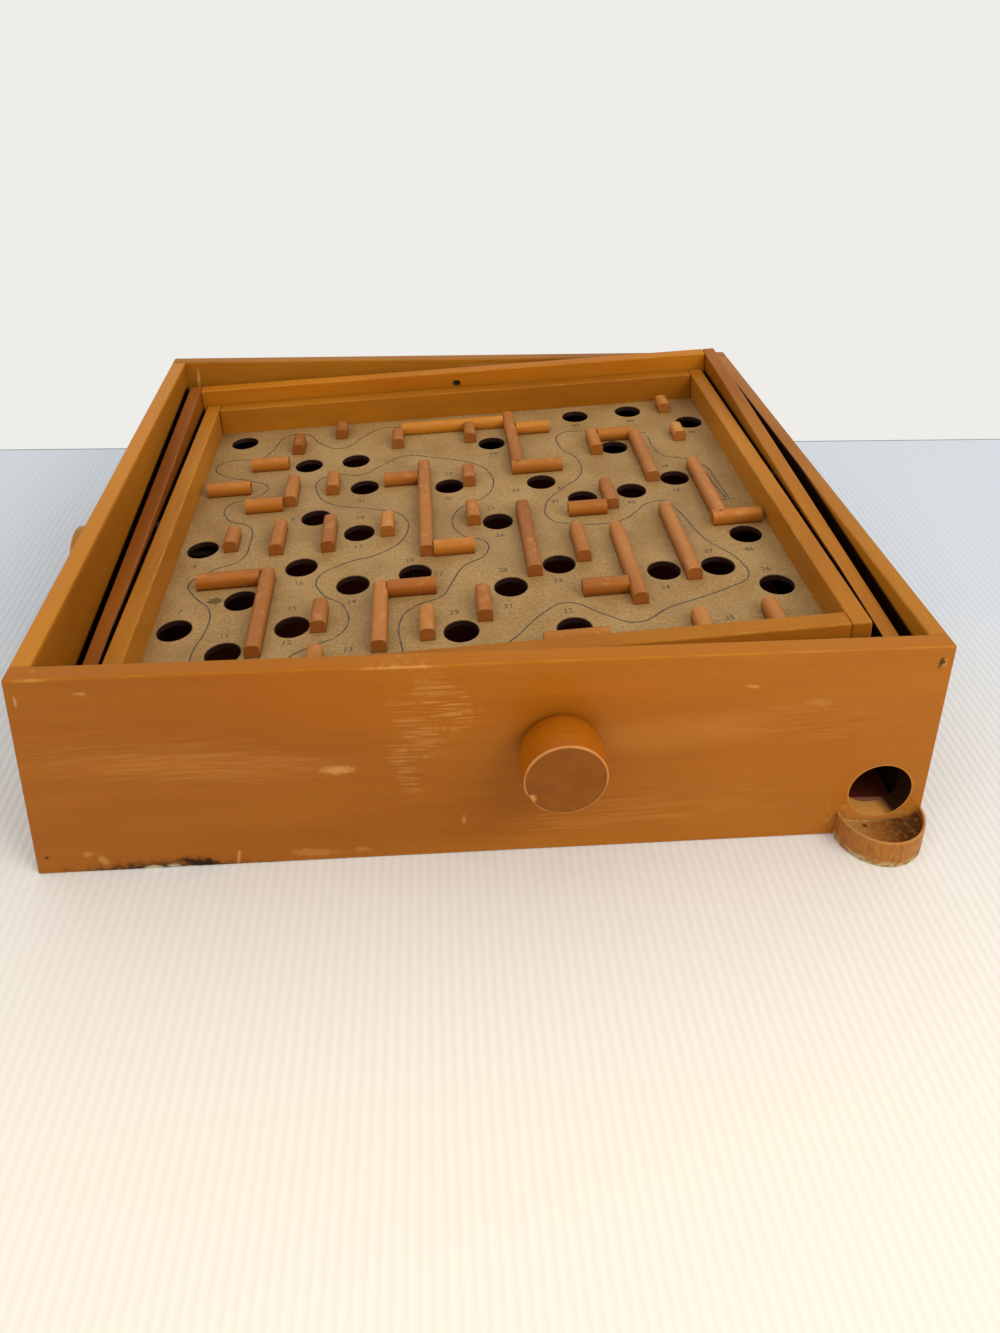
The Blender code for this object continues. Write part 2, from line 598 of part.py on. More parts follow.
def below(frame, right, back, drop, hang):
    """A point hanging under a frame's underside, given in the datum's frame."""
    bpy.context.view_layer.update()
    to_datum = datum.matrix_world.inverted() @ frame.matrix_world
    return to_datum @ Vector((right, back, -drop)) - Vector((0.0, 0.0, hang))


def frame_cords():
    """Cords from the front shaft to the outer frame, and from the side shaft to the inner frame."""
    slack = CORD_RADIUS + SEAT_GAP
    spring_slack = SPRING_RADIUS + 2 * SEAT_GAP
    line = -ring_half_depth + FRONT_CORD_LINE_INSET
    height = front_shaft_height - TURNS_RADIUS - slack
    left_tie, right_tie = FRONT_TIE_INSET_LEFT - ring_half_width, ring_half_width - FRONT_TIE_INSET_RIGHT
    ties = (below(ring_axis, left_tie, line, RING_BELOW_AXIS, slack + SEAT_GAP),
            below(ring_axis, right_tie, line, RING_BELOW_AXIS, spring_slack))
    starts = [Vector((FRONT_KNOB_RIGHT, tie.y, height)) for tie in ties]
    cords_between("front", starts, ties, ("left", "right"))
    tie_row = inner_half_depth - SIDE_TIE_INSET
    height = side_shaft_height + TURNS_RADIUS + slack
    ties = (below(board_axis, -SIDE_TURNS_LEFT, -tie_row, INNER_BELOW_AXIS, slack + SEAT_GAP),
            below(board_axis, -SIDE_TURNS_LEFT, tie_row, INNER_BELOW_AXIS, spring_slack))
    starts = [Vector((tie.x, SIDE_KNOB_BACK, height)) for tie in ties]
    cords_between("side", starts, ties, ("front", "back"))


panels = case_panels()
pivot_pins(panels)
ring_rails = outer_frame()
inner_rails = inner_frame()
tilt_pins(ring_rails, inner_rails)
maze_walls()
maze_board()
return_floor(panels)
ball_cup()
front_drive(panels)
side_drive(panels)
frame_cords()
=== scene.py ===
"""Looks of the tilt maze game: its wood, board, bars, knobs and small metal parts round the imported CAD.

Metres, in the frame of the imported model. Lengths named *_mm and *_px are in those units.
"""
import json
import math

import bmesh
import bpy
from mathutils import Matrix, Vector


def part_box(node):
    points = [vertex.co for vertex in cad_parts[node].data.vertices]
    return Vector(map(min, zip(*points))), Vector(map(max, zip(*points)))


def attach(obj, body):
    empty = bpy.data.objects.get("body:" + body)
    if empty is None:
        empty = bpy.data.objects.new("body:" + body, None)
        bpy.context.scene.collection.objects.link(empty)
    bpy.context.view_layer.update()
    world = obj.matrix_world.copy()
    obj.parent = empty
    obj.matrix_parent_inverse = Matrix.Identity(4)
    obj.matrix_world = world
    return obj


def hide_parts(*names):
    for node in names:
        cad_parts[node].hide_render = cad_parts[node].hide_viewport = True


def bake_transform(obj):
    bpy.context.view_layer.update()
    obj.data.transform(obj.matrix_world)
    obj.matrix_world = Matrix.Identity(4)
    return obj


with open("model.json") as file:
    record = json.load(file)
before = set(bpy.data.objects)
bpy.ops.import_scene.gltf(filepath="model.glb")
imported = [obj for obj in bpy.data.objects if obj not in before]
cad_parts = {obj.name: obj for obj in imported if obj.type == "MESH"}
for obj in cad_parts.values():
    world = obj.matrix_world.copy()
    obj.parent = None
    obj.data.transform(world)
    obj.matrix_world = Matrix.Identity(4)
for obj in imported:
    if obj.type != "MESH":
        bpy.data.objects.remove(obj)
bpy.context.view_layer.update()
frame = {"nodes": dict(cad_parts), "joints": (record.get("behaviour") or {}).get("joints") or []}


# Case: four boards of pale softwood, planed and varnished, butted at the corners and pinned through the
# front and back boards into the ends of the side boards. Old varnish has gone honey orange, and the
# top edges are rubbed. The front board is drilled for the outlet and for the knob's shaft.
MM = 0.001
# It stands about a middle line that is off the origin, because the two knobs count in the game's size
case_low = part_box("front_panel")[0]
case_high = Vector((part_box("front_panel")[1].x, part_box("back_panel")[1].y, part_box("front_panel")[1].z))
case_middle = Vector(((case_low.x + case_high.x) / 2, (case_low.y + case_high.y) / 2, 0.0))
panel_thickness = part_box("front_panel")[1].y - case_low.y
joints = {joint["name"]: joint for joint in frame["joints"]}
BOARD_TILT_DEG = -3.2


def frame_at(origin, right, back):
    """A frame with its X and Y along two directions that stand square to each other."""
    turn = Matrix((right, back, right.cross(back))).transposed()
    return Matrix.Translation(origin) @ turn.to_4x4()


case_frame = Matrix.Translation(case_middle)
ring_frame = frame_at(Vector(joints["outer_tilt"]["pos_m"]),
                      Vector(joints["inner_tilt"]["axis"]).normalized(),
                      Vector(joints["outer_tilt"]["axis"]).normalized())
board_frame = ring_frame @ Matrix.Rotation(math.radians(BOARD_TILT_DEG), 4, "X")


def hex_colour(code):
    """An sRGB hex code as linear red, green, blue and alpha."""
    shares = [int(code[place:place + 2], 16) / 255 for place in (0, 2, 4)]
    linear = [share / 12.92 if share <= 0.04045 else ((share + 0.055) / 1.055) ** 2.4 for share in shares]
    return (*linear, 1.0)


def fill(socket, value):
    """Links a socket to another one or to a node's first output, or sets it to a value or a hex colour."""
    if isinstance(value, bpy.types.Node):
        value = next(output for output in value.outputs if output.enabled)
    if isinstance(value, bpy.types.NodeSocket):
        socket.id_data.links.new(value, socket)
    elif isinstance(value, str) and socket.type == "RGBA":
        socket.default_value = hex_colour(value)
    else:
        socket.default_value = value


def add_node(tree, kind, inputs=None, **settings):
    """Adds a node with its settings, and fills its inputs by name or number."""
    node = tree.nodes.new(kind)
    for name, value in settings.items():
        setattr(node, name, value)
    for name, value in (inputs or {}).items():
        fill(node.inputs[name], value)
    return node


def maths(tree, operation, *values, **settings):
    """One operation on numbers."""
    return add_node(tree, "ShaderNodeMath", dict(enumerate(values)), operation=operation, **settings)


def vectors(tree, operation, *values):
    """One operation on vectors."""
    inputs = {0: values[0], "Scale": values[1]} if operation == "SCALE" else dict(enumerate(values))
    return add_node(tree, "ShaderNodeVectorMath", inputs, operation=operation)


def mapped(tree, value, given=(0.0, 1.0), to=(0.0, 1.0)):
    """A value taken from one range to another, and held inside it."""
    return add_node(tree, "ShaderNodeMapRange", {"Value": value, "From Min": given[0], "From Max": given[1],
                                                 "To Min": to[0], "To Max": to[1]})


def mixed(tree, share, first, second):
    """One colour turned into another by a share."""
    return add_node(tree, "ShaderNodeMix", {0: share, 6: first, 7: second}, data_type="RGBA")


def noise_at(tree, place, width, detail=2.0, seed=None):
    """Cloudy noise at a place, in lumps about as wide as the given width."""
    inputs = {"Vector": place, "Scale": 1 / width, "Detail": detail}
    if seed is None:
        return add_node(tree, "ShaderNodeTexNoise", inputs)
    return add_node(tree, "ShaderNodeTexNoise", {**inputs, "W": seed}, noise_dimensions="4D")


def component(tree, vector, axis):
    """The X, Y or Z of a vector."""
    return add_node(tree, "ShaderNodeSeparateXYZ", {0: vector}).outputs[axis]


def seen_point(tree):
    """The point that is shaded, in the game's own frame."""
    return add_node(tree, "ShaderNodeTexCoord").outputs["Object"]


def place_in(tree, piece_frame, point):
    """Where a point is in a piece's own frame, for materials that go with a tilted piece."""
    return add_node(tree, "ShaderNodeMapping", {"Vector": point, "Location": piece_frame.translation,
                                                "Rotation": piece_frame.to_3x3().to_euler()},
                    vector_type="TEXTURE").outputs[0]


def new_group(name, kind, inputs, outputs):
    """An empty node group with its named sockets, and its input and output nodes."""
    tree = bpy.data.node_groups.new(name, kind)
    for direction, sockets in (("INPUT", inputs), ("OUTPUT", outputs)):
        for socket, socket_kind in sockets.items():
            tree.interface.new_socket(socket, in_out=direction, socket_type="NodeSocket" + socket_kind)
    return tree, tree.nodes.new("NodeGroupInput").outputs, tree.nodes.new("NodeGroupOutput")


def new_material(name):
    """A material with its node tree and its shader, which the caller fills in."""
    material = bpy.data.materials.new(name)
    material.use_nodes = True
    tree = material.node_tree
    return material, tree, tree.nodes["Principled BSDF"]


def set_inputs(shader, **values):
    """Values and links of the shader's own sockets, with underscores for the spaces in their names."""
    for name, value in values.items():
        fill(shader.inputs[name.replace("_", " ")], value)


def edge_distance_group():
    """How far a point of a box's surface is from the nearest edge of that box."""
    tree, given, result = new_group("distance to the nearest edge", "ShaderNodeTree",
                                    {"Position": "Vector", "Half Size": "Vector"}, {"Distance": "Float"})
    away = vectors(tree, "ABSOLUTE", given["Position"])
    inset = vectors(tree, "SUBTRACT", given["Half Size"], away)
    sides = add_node(tree, "ShaderNodeSeparateXYZ", {0: inset}).outputs
    lower = maths(tree, "MINIMUM", sides[0], sides[1])
    upper = maths(tree, "MAXIMUM", sides[0], sides[1])
    capped = maths(tree, "MINIMUM", upper, sides[2])
    second = maths(tree, "MAXIMUM", lower, capped)
    fill(result.inputs["Distance"], second)
    return tree


# Widths of what shows in the wood, as size across the grain; the fibres are drawn twice their real width
STREAK_MM = 7.0
BAND_MM = 2.2
FIBRE_MM = 0.7
PORE_MM = 0.55
PATCH_MM = 70.0
STREAK_STRETCH = 22.0
FIBRE_STRETCH = 45.0
PORE_STRETCH = 9.0


def wood_grain_group():
    """Grain along X: broad streaks, narrow bands of late wood, fine fibres, short dark pores, and patches
    of darker varnish."""
    tree, given, result = new_group("wood grain", "ShaderNodeTree",
                                    {"Position": "Vector", "Seed": "Float", "Light": "Color",
                                     "Dark": "Color", "Deep": "Color"},
                                    {"Colour": "Color", "Height": "Float"})
    wander = noise_at(tree, given["Position"], 90 * MM, 1.0, given["Seed"])
    drift = vectors(tree, "MULTIPLY", wander.outputs["Color"], (0.0, 9 * MM, 9 * MM))
    bent = vectors(tree, "ADD", given["Position"], drift)
    layers = {}
    for name, width_mm, stretch, detail in (("streak", STREAK_MM, STREAK_STRETCH, 2.0),
                                            ("band", BAND_MM, STREAK_STRETCH * 1.6, 2.0),
                                            ("fibre", FIBRE_MM, FIBRE_STRETCH, 1.0),
                                            ("pore", PORE_MM, PORE_STRETCH, 1.0),
                                            ("patch", PATCH_MM, 2.5, 2.0)):
        drawn = vectors(tree, "MULTIPLY", bent, (1 / stretch, 1.0, 1.0))
        layers[name] = noise_at(tree, drawn, width_mm * MM, detail, given["Seed"])
    streak = mapped(tree, layers["streak"], (0.28, 0.72), (0.0, 0.55))
    late = mapped(tree, layers["band"], (0.5, 0.75), (0.0, 0.25))
    deep = mapped(tree, layers["patch"], (0.4, 0.66), (0.0, 0.8))
    broad = mixed(tree, streak, given["Light"], given["Dark"])
    banded = mixed(tree, late, broad, given["Dark"])
    stained = mixed(tree, deep, banded, given["Deep"])
    strength = mapped(tree, layers["fibre"], (0.3, 0.7), (0.93, 1.06))
    pored = mapped(tree, layers["pore"], (0.62, 0.74), (1.0, 0.9))
    both = maths(tree, "MULTIPLY", strength, pored)
    fibred = vectors(tree, "SCALE", stained, both)
    fill(result.inputs["Colour"], fibred)
    fill(result.inputs["Height"], layers["fibre"])
    return tree


def grime_group(moving_frame):
    """How far the painted shade and dust of the inside reach: low down, and in the slits beside a moving
    frame, where shade falls. From and To are how far from that frame's middle it lies sideways, and Below is
    its upper edge."""
    tree, given, result = new_group("grime inside the case", "ShaderNodeTree",
                                    {"Position": "Vector", "From": "Float", "To": "Float", "Below": "Float"},
                                    {"Amount": "Float"})
    in_frame_now = place_in(tree, moving_frame, given["Position"])
    frame_side = add_node(tree, "ShaderNodeSeparateXYZ", {0: in_frame_now}).outputs
    sideways = maths(tree, "ABSOLUTE", frame_side[0])
    beyond = maths(tree, "GREATER_THAN", sideways, given["From"])
    short_of = maths(tree, "LESS_THAN", sideways, given["To"])
    beyond = maths(tree, "MULTIPLY", beyond, short_of)
    under = maths(tree, "SUBTRACT", given["Below"], frame_side[2])
    low = mapped(tree, under, (0.0, 1.8 * MM))
    from_case = vectors(tree, "SUBTRACT", given["Position"], case_middle)
    case_side = add_node(tree, "ShaderNodeSeparateXYZ", {0: from_case}).outputs
    amount = maths(tree, "MULTIPLY", beyond, low)
    for side, limit in ((case_side[0], (case_high.x - case_low.x) / 2 - panel_thickness),
                        (case_side[1], (case_high.y - case_low.y) / 2 - panel_thickness)):
        away = maths(tree, "ABSOLUTE", side)
        within = maths(tree, "LESS_THAN", away, limit + 0.5 * MM)
        amount = maths(tree, "MULTIPLY", amount, within)
    fill(result.inputs["Amount"], amount)
    return tree


edge_distance = edge_distance_group()
wood_grain = wood_grain_group()
shade_and_grime_by_ring = grime_group(ring_frame)
shade_and_grime_by_board = grime_group(board_frame)


def wood(tree, place, seed, *colours):
    """The wood grain at a place, in its light, dark and deepest colour."""
    inputs = {"Position": place, "Seed": seed, **dict(zip(("Light", "Dark", "Deep"), colours))}
    return add_node(tree, "ShaderNodeGroup", inputs, node_tree=wood_grain)


def spot_mask(tree, place, spot, noise):
    """How much of a rubbed, chipped, scorched or tinted spot, or of a spot of painted light or shade, shows
    at a point; sizes in millimetres.
    """
    across, up, half_across, half_up, turn_deg = spot[:5]
    moved = add_node(tree, "ShaderNodeMapping", {"Vector": place, "Location": (across * MM, 0.0, up * MM),
                                                 "Rotation": (0.0, math.radians(turn_deg), 0.0),
                                                 "Scale": (half_across * MM, 1.0, half_up * MM)},
                     vector_type="TEXTURE")
    flat = vectors(tree, "MULTIPLY", moved, (1.0, 0.0, 1.0))
    reach = vectors(tree, "LENGTH", flat)
    ragged = maths(tree, "MULTIPLY_ADD", noise, 1.6, reach)
    return mapped(tree, ragged, (2.0, 1.3))


def varnished_board(name, piece_frame, low, high, seed, colours, wear=0.4, tints=(), spots=(), rubs=(),
                    gloss=0.36, shade_and_grime=shade_and_grime_by_ring, shade_and_grime_span=(0.0, 1.0), shade_and_grime_below=0.0):
    """Planed softwood under an old honey varnish: streaks along the board, a soft shine from the varnish,
    and bare paler wood where hands and knocks have rubbed the varnish off the edges."""
    light, dark, deep, bare = colours
    low, high = Vector(low), Vector(high)
    half = (high - low) / 2
    turn = piece_frame.to_3x3()
    if half.y > half.x:
        turn = turn @ Matrix.Rotation(math.pi / 2, 3, "Z")
        half = Vector((half.y, half.x, half.z))
    material, tree, shader = new_material(name)
    seen = seen_point(tree)
    place = place_in(tree, Matrix.Translation(piece_frame @ ((low + high) / 2)) @ turn.to_4x4(), seen)
    grain = wood(tree, place, seed, light, dark, deep)
    edge = add_node(tree, "ShaderNodeGroup", {"Position": place, "Half Size": half},
                    node_tree=edge_distance)
    along = vectors(tree, "MULTIPLY", place, (0.35, 1.0, 1.0))
    chips = noise_at(tree, along, 5 * MM, 4.0, seed + 3.0)
    reach = mapped(tree, chips, (0.4, 0.75), (0.05 * MM, 1.3 * MM))
    rubbed = mapped(tree, edge, (reach, 0.0), (0.0, wear))
    worn = mixed(tree, rubbed, grain, bare)
    away = vectors(tree, "ABSOLUTE", place)
    from_middle = component(tree, away, "X")
    end_grain = mapped(tree, from_middle, (half.x - 0.4 * MM, half.x - 0.1 * MM), (0.0, 0.45))
    colour = mixed(tree, end_grain, worn, deep)
    grit = noise_at(tree, place, 2.2 * MM, 4.0)
    threads = mapped(tree, grain.outputs["Height"], (0.47, 0.62))
    for spot in (*tints, *spots, *rubs):
        mask = spot_mask(tree, place, spot, 0.5 if spot in tints else grit)
        if spot in rubs:
            mask = maths(tree, "MULTIPLY", mask, threads)
        strength = maths(tree, "MULTIPLY", mask, spot[6])
        colour = mixed(tree, strength, colour, spot[5])
    # Painted shade, with some dust, darkens the face low in the slits beside a moving frame
    dark = add_node(tree, "ShaderNodeGroup", {"Position": seen, "From": shade_and_grime_span[0], "To": shade_and_grime_span[1],
                                              "Below": shade_and_grime_below}, node_tree=shade_and_grime)
    colour = mixed(tree, dark, colour, "160A05")
    shine = mapped(tree, rubbed, to=(gloss, 0.75))
    relief = add_node(tree, "ShaderNodeBump",
                      {"Height": grain.outputs["Height"], "Distance": 0.05 * MM, "Strength": 0.35})
    set_inputs(shader, Base_Color=colour, Roughness=shine, Normal=relief, Specular_IOR_Level=0.08,
               Coat_Weight=0.03, Coat_Roughness=0.22)
    return material


def in_scene(name, data):
    """A new object of the given data, in the scene."""
    made = bpy.data.objects.new(name, data)
    bpy.context.scene.collection.objects.link(made)
    return made


def finished_mesh(objects, name, piece_frame=None):
    """The evaluated mesh of the first object, with its helpers removed, as a new object at the origin."""
    bpy.context.view_layer.update()
    shape = objects[0].evaluated_get(bpy.context.evaluated_depsgraph_get())
    mesh = bpy.data.meshes.new_from_object(shape)
    for used in objects:
        bpy.data.objects.remove(used, do_unlink=True)
    if piece_frame is not None:
        mesh.transform(piece_frame)
    mesh.name = name
    return in_scene(name, mesh)


def raw_object(bm, name):
    """A bmesh as an object in the scene, for modifiers to work on."""
    mesh = bpy.data.meshes.new(name)
    bm.to_mesh(mesh)
    bm.free()
    return in_scene(name, mesh)


TURN_TO = {"X": Matrix.Rotation(math.pi / 2, 4, "Y"), "Y": Matrix.Rotation(math.pi / 2, 4, "X")}


def drill(axis, start, stop, across, radius, sides=64):
    """A round cutter along X or Y from start to stop; across is its place on the other two axes."""
    centre = list(across)
    centre.insert("XYZ".index(axis), (start + stop) / 2)
    bm = bmesh.new()
    bmesh.ops.create_cone(bm, cap_ends=True, segments=sides, radius1=radius, radius2=radius,
                          depth=abs(stop - start), matrix=Matrix.Translation(centre) @ TURN_TO[axis])
    return raw_object(bm, "drill")


def block_mesh(low, high):
    """A square block between two corners."""
    low, high = Vector(low), Vector(high)
    bm = bmesh.new()
    bmesh.ops.create_cube(bm, size=1.0)
    bmesh.ops.scale(bm, vec=high - low, verts=bm.verts)
    bmesh.ops.translate(bm, vec=(low + high) / 2, verts=bm.verts)
    return bm


EDGE_STEPS = 3
BORE_SHARP_DEG = 40


def planed_board(name, piece_frame, low, high, edge_round, cutters=()):
    """A board between two corners, its edges rounded, then its bores and rebates cut."""
    bm = block_mesh(low, high)
    bmesh.ops.bevel(bm, geom=bm.edges[:], offset=edge_round, segments=EDGE_STEPS, profile=0.5,
                    affect="EDGES")
    board = raw_object(bm, name + "_blank")
    for cutter in cutters:
        cut = board.modifiers.new("cut", "BOOLEAN")
        cut.object = cutter
        cut.solver = "EXACT"
    even = board.modifiers.new("even shading", "WEIGHTED_NORMAL")
    even.keep_sharp = True
    board.data.shade_smooth()
    board.data.set_sharp_from_angle(angle=math.radians(BORE_SHARP_DEG))
    return finished_mesh([board, *cutters], name, piece_frame)


def dress(piece, body, material, slot, *nodes):
    """Gives a finished piece its material and body, and hides the nodes that it stands for. The slot is not
    used.
    """
    if material is not None:
        piece.data.materials.clear()
        piece.data.materials.append(material)
    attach(piece, body)
    if nodes:
        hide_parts(*nodes)


CASE_EDGE_ROUND = 0.9 * MM
FRONT_COLOURS = ("A5641A", "985812", "8C4B12", "BE8438")
OTHER_COLOURS = ("AC6E1C", "9D6014", "8A500E", "6A4A22")
CASE_WEAR = 0.6
CUT_PAST = 2 * MM
PIN_INSET = 4.5 * MM
PIN_PLACES = (
    # front or back board, left or right end, height
    (-1, -1, 8.5 * MM), (-1, 1, 86.5 * MM),
    (1, -1, 8.5 * MM), (1, -1, 86.5 * MM), (1, 1, 8.5 * MM), (1, 1, 86.5 * MM),
)
PIN_HOLE_RADIUS = 0.75 * MM
PIN_HOLE_DEPTH = 0.9 * MM
KNOCK_AND_LIGHT_SPOTS = (
    # right of the middle, above the middle, half width, half height, turn, colour, strength
    # The first spot, a paler patch below the outlet, is painted light
    (159.0, -37.0, 18.0, 8.0, 0, "CB8E48", 0.5),
    (-61.0, -1.0, 6.0, 2.2, 0, "D09A58", 0.55), (-152.9, 39.9, 2.4, 0.8, 4, "D6A066", 0.32),
    (-176.3, 37.5, 0.6, 2.6, 0, "CDB898", 0.3), (-159.7, -37.6, 2.0, 1.5, 0, "C89454", 0.4),
    (-153.7, -42.0, 1.6, 4.2, -24, "C89454", 0.45), (-128.0, -46.6, 34.0, 3.6, 2, "5A3212", 0.75),
    (-127.0, -47.5, 33.0, 2.5, 1, "100805", 1.0), (-116.0, -45.4, 8.5, 3.2, 14, "1C0F08", 0.9),
    (-135.0, -46.4, 4.0, 1.3, 0, "D8C3A0", 0.7), (-127.0, -46.0, 2.6, 1.3, 0, "CDB48C", 0.7),
    (-121.0, -46.9, 3.0, 1.0, 0, "CDB48C", 0.6), (-101.8, -43.5, 0.8, 4.2, 8, "CF9A5C", 0.5),
    (-72.0, -42.5, 10.0, 2.0, 3, "B87C3C", 0.5), (-53.0, -42.0, 4.2, 1.4, -6, "B87C3C", 0.45),
    (-11.8, -29.0, 0.7, 2.4, 0, "CF9A5C", 0.4), (-89.4, -47.0, 2.4, 1.2, 0, "3A2A1C", 0.8),
    (-36.0, 46.3, 16.0, 0.6, 0, "CB964E", 0.6), (-170.0, 46.3, 6.0, 0.6, 0, "C08C44", 0.5),
    (100.0, 31.4, 2.8, 0.9, 8, "C8904E", 0.5), (128.0, 22.5, 6.0, 1.8, 6, "BE8444", 0.32),
    (165.5, -16.0, 2.2, 2.0, 0, "BE8444", 0.45), (174.6, 39.6, 1.0, 2.9, 14, "3A230E", 0.85),
    (176.4, 39.0, 1.1, 2.6, 0, "B08444", 0.5),
)
FRONT_TINTS = (
    # The first tint darkens the left end as painted shade, and the second lightens the right end as painted
    # light
    (-185.0, 0.0, 130.0, 100.0, 0, "8A4A1A", 0.34), (150.0, -6.0, 110.0, 80.0, 0, "BE7626", 0.3),
    (-10.0, 32.0, 120.0, 22.0, 2, "A85A08", 0.35), (-60.0, -34.0, 90.0, 14.0, -3, "8E4E14", 0.3),
    (70.0, 10.0, 46.0, 9.0, -3, "BC7A30", 0.3), (-110.0, 4.0, 60.0, 8.0, 4, "AE6C2C", 0.3),
    (0.0, 48.8, 900.0, 3.2, 0, "B06A14", 0.4),
)
LEFT_TINTS = ((0.0, 48.6, 900.0, 4.0, 0, "CC8426", 0.55),)
RUBBED_STREAKS = (
    (-20.0, 30.0, 16.0, 9.0, 55, "CC9A58", 0.36), (-30.0, 16.0, 17.0, 8.0, 66, "C8955A", 0.3),
    (-35.0, -2.0, 14.0, 5.0, 74, "C8925A", 0.3), (120.0, 12.0, 44.0, 9.0, 4, "B87E40", 0.22),
    (60.0, -28.0, 60.0, 12.0, -4, "B87E40", 0.2), (-120.0, 6.0, 60.0, 12.0, 5, "B07A40", 0.25),
)
BACK_SPOTS = (
    (-164.5, 36.0, 1.0, 7.0, 0, "CFA35E", 0.7), (30.0, 42.5, 30.0, 1.6, 0, "C2904A", 0.4),
)
CASE_MARKS = {
    # tints, spots, rubbed streaks
    "front_panel": (FRONT_TINTS, KNOCK_AND_LIGHT_SPOTS, RUBBED_STREAKS), "back_panel": ((), BACK_SPOTS, ()),
    "left_panel": (LEFT_TINTS, (), ()), "right_panel": ((), (), ()),
}
# How high the painted shade and dust of the slits reach on each case board
CASE_SHADE_AND_GRIME_BELOW = {"front_panel": 3 * MM, "back_panel": 4.5 * MM,
                    "left_panel": 7.5 * MM, "right_panel": 10 * MM}

case_half = Vector(((case_high.x - case_low.x) / 2, (case_high.y - case_low.y) / 2, case_high.z / 2))
inside_half_depth = case_half.y - panel_thickness
inside_half_width = case_half.x - panel_thickness
outlet_right = case_half.x - 19.6 * MM
OUTLET_HEIGHT = 22.3 * MM
OUTLET_RADIUS = 13.3 * MM
SHAFT_BORE_RADIUS = 2.1 * MM
PIVOT_BORE_RADIUS = 2.6 * MM
PANEL_PIN_DEPTH = 5 * MM


def in_frame(piece_frame, point):
    """A point of the game's frame, given in a piece's own frame."""
    return piece_frame.inverted() @ Vector(point)


front_shaft = in_frame(case_frame, joints["front_knob_turn"]["pos_m"])
side_shaft = in_frame(case_frame, joints["side_knob_turn"]["pos_m"])
pin_slope = Vector(joints["outer_tilt"]["axis"])
pivot_height = joints["outer_tilt"]["pos_m"][2]


def pivot_drill(side):
    """The blind bore for a pivot pin, on the line that slopes down to the front."""
    cutter = drill("Y", side * (inside_half_depth - CUT_PAST), side * (inside_half_depth + PANEL_PIN_DEPTH),
                   (0.0, 0.0), PIVOT_BORE_RADIUS)
    slope = math.atan2(pin_slope.z, pin_slope.y)
    cutter.data.transform(Matrix.Translation((0.0, 0.0, pivot_height)) @ Matrix.Rotation(slope, 4, "X"))
    return cutter


def pin_drills(side):
    """The holes that the corner pins were punched into, in the front or back board."""
    face = side * case_half.y
    return [drill("Y", face - side * PIN_HOLE_DEPTH, face + side * CUT_PAST,
                  (end * (case_half.x - PIN_INSET), height), PIN_HOLE_RADIUS, 16)
            for board_side, end, height in PIN_PLACES if board_side == side]


panel_bounds = {
    "front_panel": ((-case_half.x, -case_half.y, 0.0), (case_half.x, -inside_half_depth, case_high.z)),
    "back_panel": ((-case_half.x, inside_half_depth, 0.0), (case_half.x, case_half.y, case_high.z)),
    "left_panel": ((-case_half.x, -inside_half_depth, 0.0),
                   (-inside_half_width, inside_half_depth, case_high.z)),
    "right_panel": ((inside_half_width, -inside_half_depth, 0.0),
                    (case_half.x, inside_half_depth, case_high.z)),
}
panel_cuts = {
    "front_panel": [drill("Y", -case_half.y - CUT_PAST, -inside_half_depth + CUT_PAST,
                          (outlet_right, OUTLET_HEIGHT), OUTLET_RADIUS, 96),
                    drill("Y", -case_half.y - CUT_PAST, -inside_half_depth + CUT_PAST,
                          (front_shaft.x, front_shaft.z), SHAFT_BORE_RADIUS),
                    pivot_drill(-1), *pin_drills(-1)],
    "back_panel": [pivot_drill(1), *pin_drills(1)],
    "left_panel": [drill("X", -case_half.x - CUT_PAST, -inside_half_width + CUT_PAST,
                         (side_shaft.y, side_shaft.z), SHAFT_BORE_RADIUS)],
    "right_panel": [drill("X", inside_half_width - CUT_PAST, inside_half_width + PANEL_PIN_DEPTH,
                          (side_shaft.y, side_shaft.z), SHAFT_BORE_RADIUS)],
}


def soil_outlet(material, reach_to, wear):
    """Painted light and shade in the outlet's bore: painted shade over its right side and roof, and a paler
    bare colour as painted light along its bottom, with its rim rubbed pale. The bore just runs past the end
    of the right side board, which shows in it and is painted as dark."""
    tree = material.node_tree
    shader = tree.nodes["Principled BSDF"]
    seen = seen_point(tree)
    centre = case_middle + Vector((outlet_right, -case_half.y, OUTLET_HEIGHT))
    from_centre = vectors(tree, "SUBTRACT", seen, centre)
    square = vectors(tree, "MULTIPLY", from_centre, (1.0, 0.0, 1.0))
    reach = vectors(tree, "LENGTH", square)
    in_bore = maths(tree, "LESS_THAN", reach, reach_to)
    upward = vectors(tree, "DOT_PRODUCT", from_centre, (0.75, 0.15, 0.9))
    spread = mapped(tree, upward, (-9 * MM, -4 * MM), (0.0, 0.97))
    amount = maths(tree, "MULTIPLY", spread, in_bore)
    varnished = shader.inputs["Base Color"].links[0].from_socket
    # The bore is painted paler as painted light, and the rim round it is rubbed bare
    rim = mapped(tree, reach, (OUTLET_RADIUS + 0.9 * MM, OUTLET_RADIUS + 0.1 * MM), (0.0, 0.5))
    worn = maths(tree, "ADD", in_bore, rim, use_clamp=True)
    bare = maths(tree, "MULTIPLY", worn, wear)
    lit_bore_and_rim = mixed(tree, bare, varnished, "C98C44")
    # Painted shade over the right side and roof of the bore
    darkened = mixed(tree, amount, lit_bore_and_rim, "1E0A07")
    fill(shader.inputs["Base Color"], darkened)


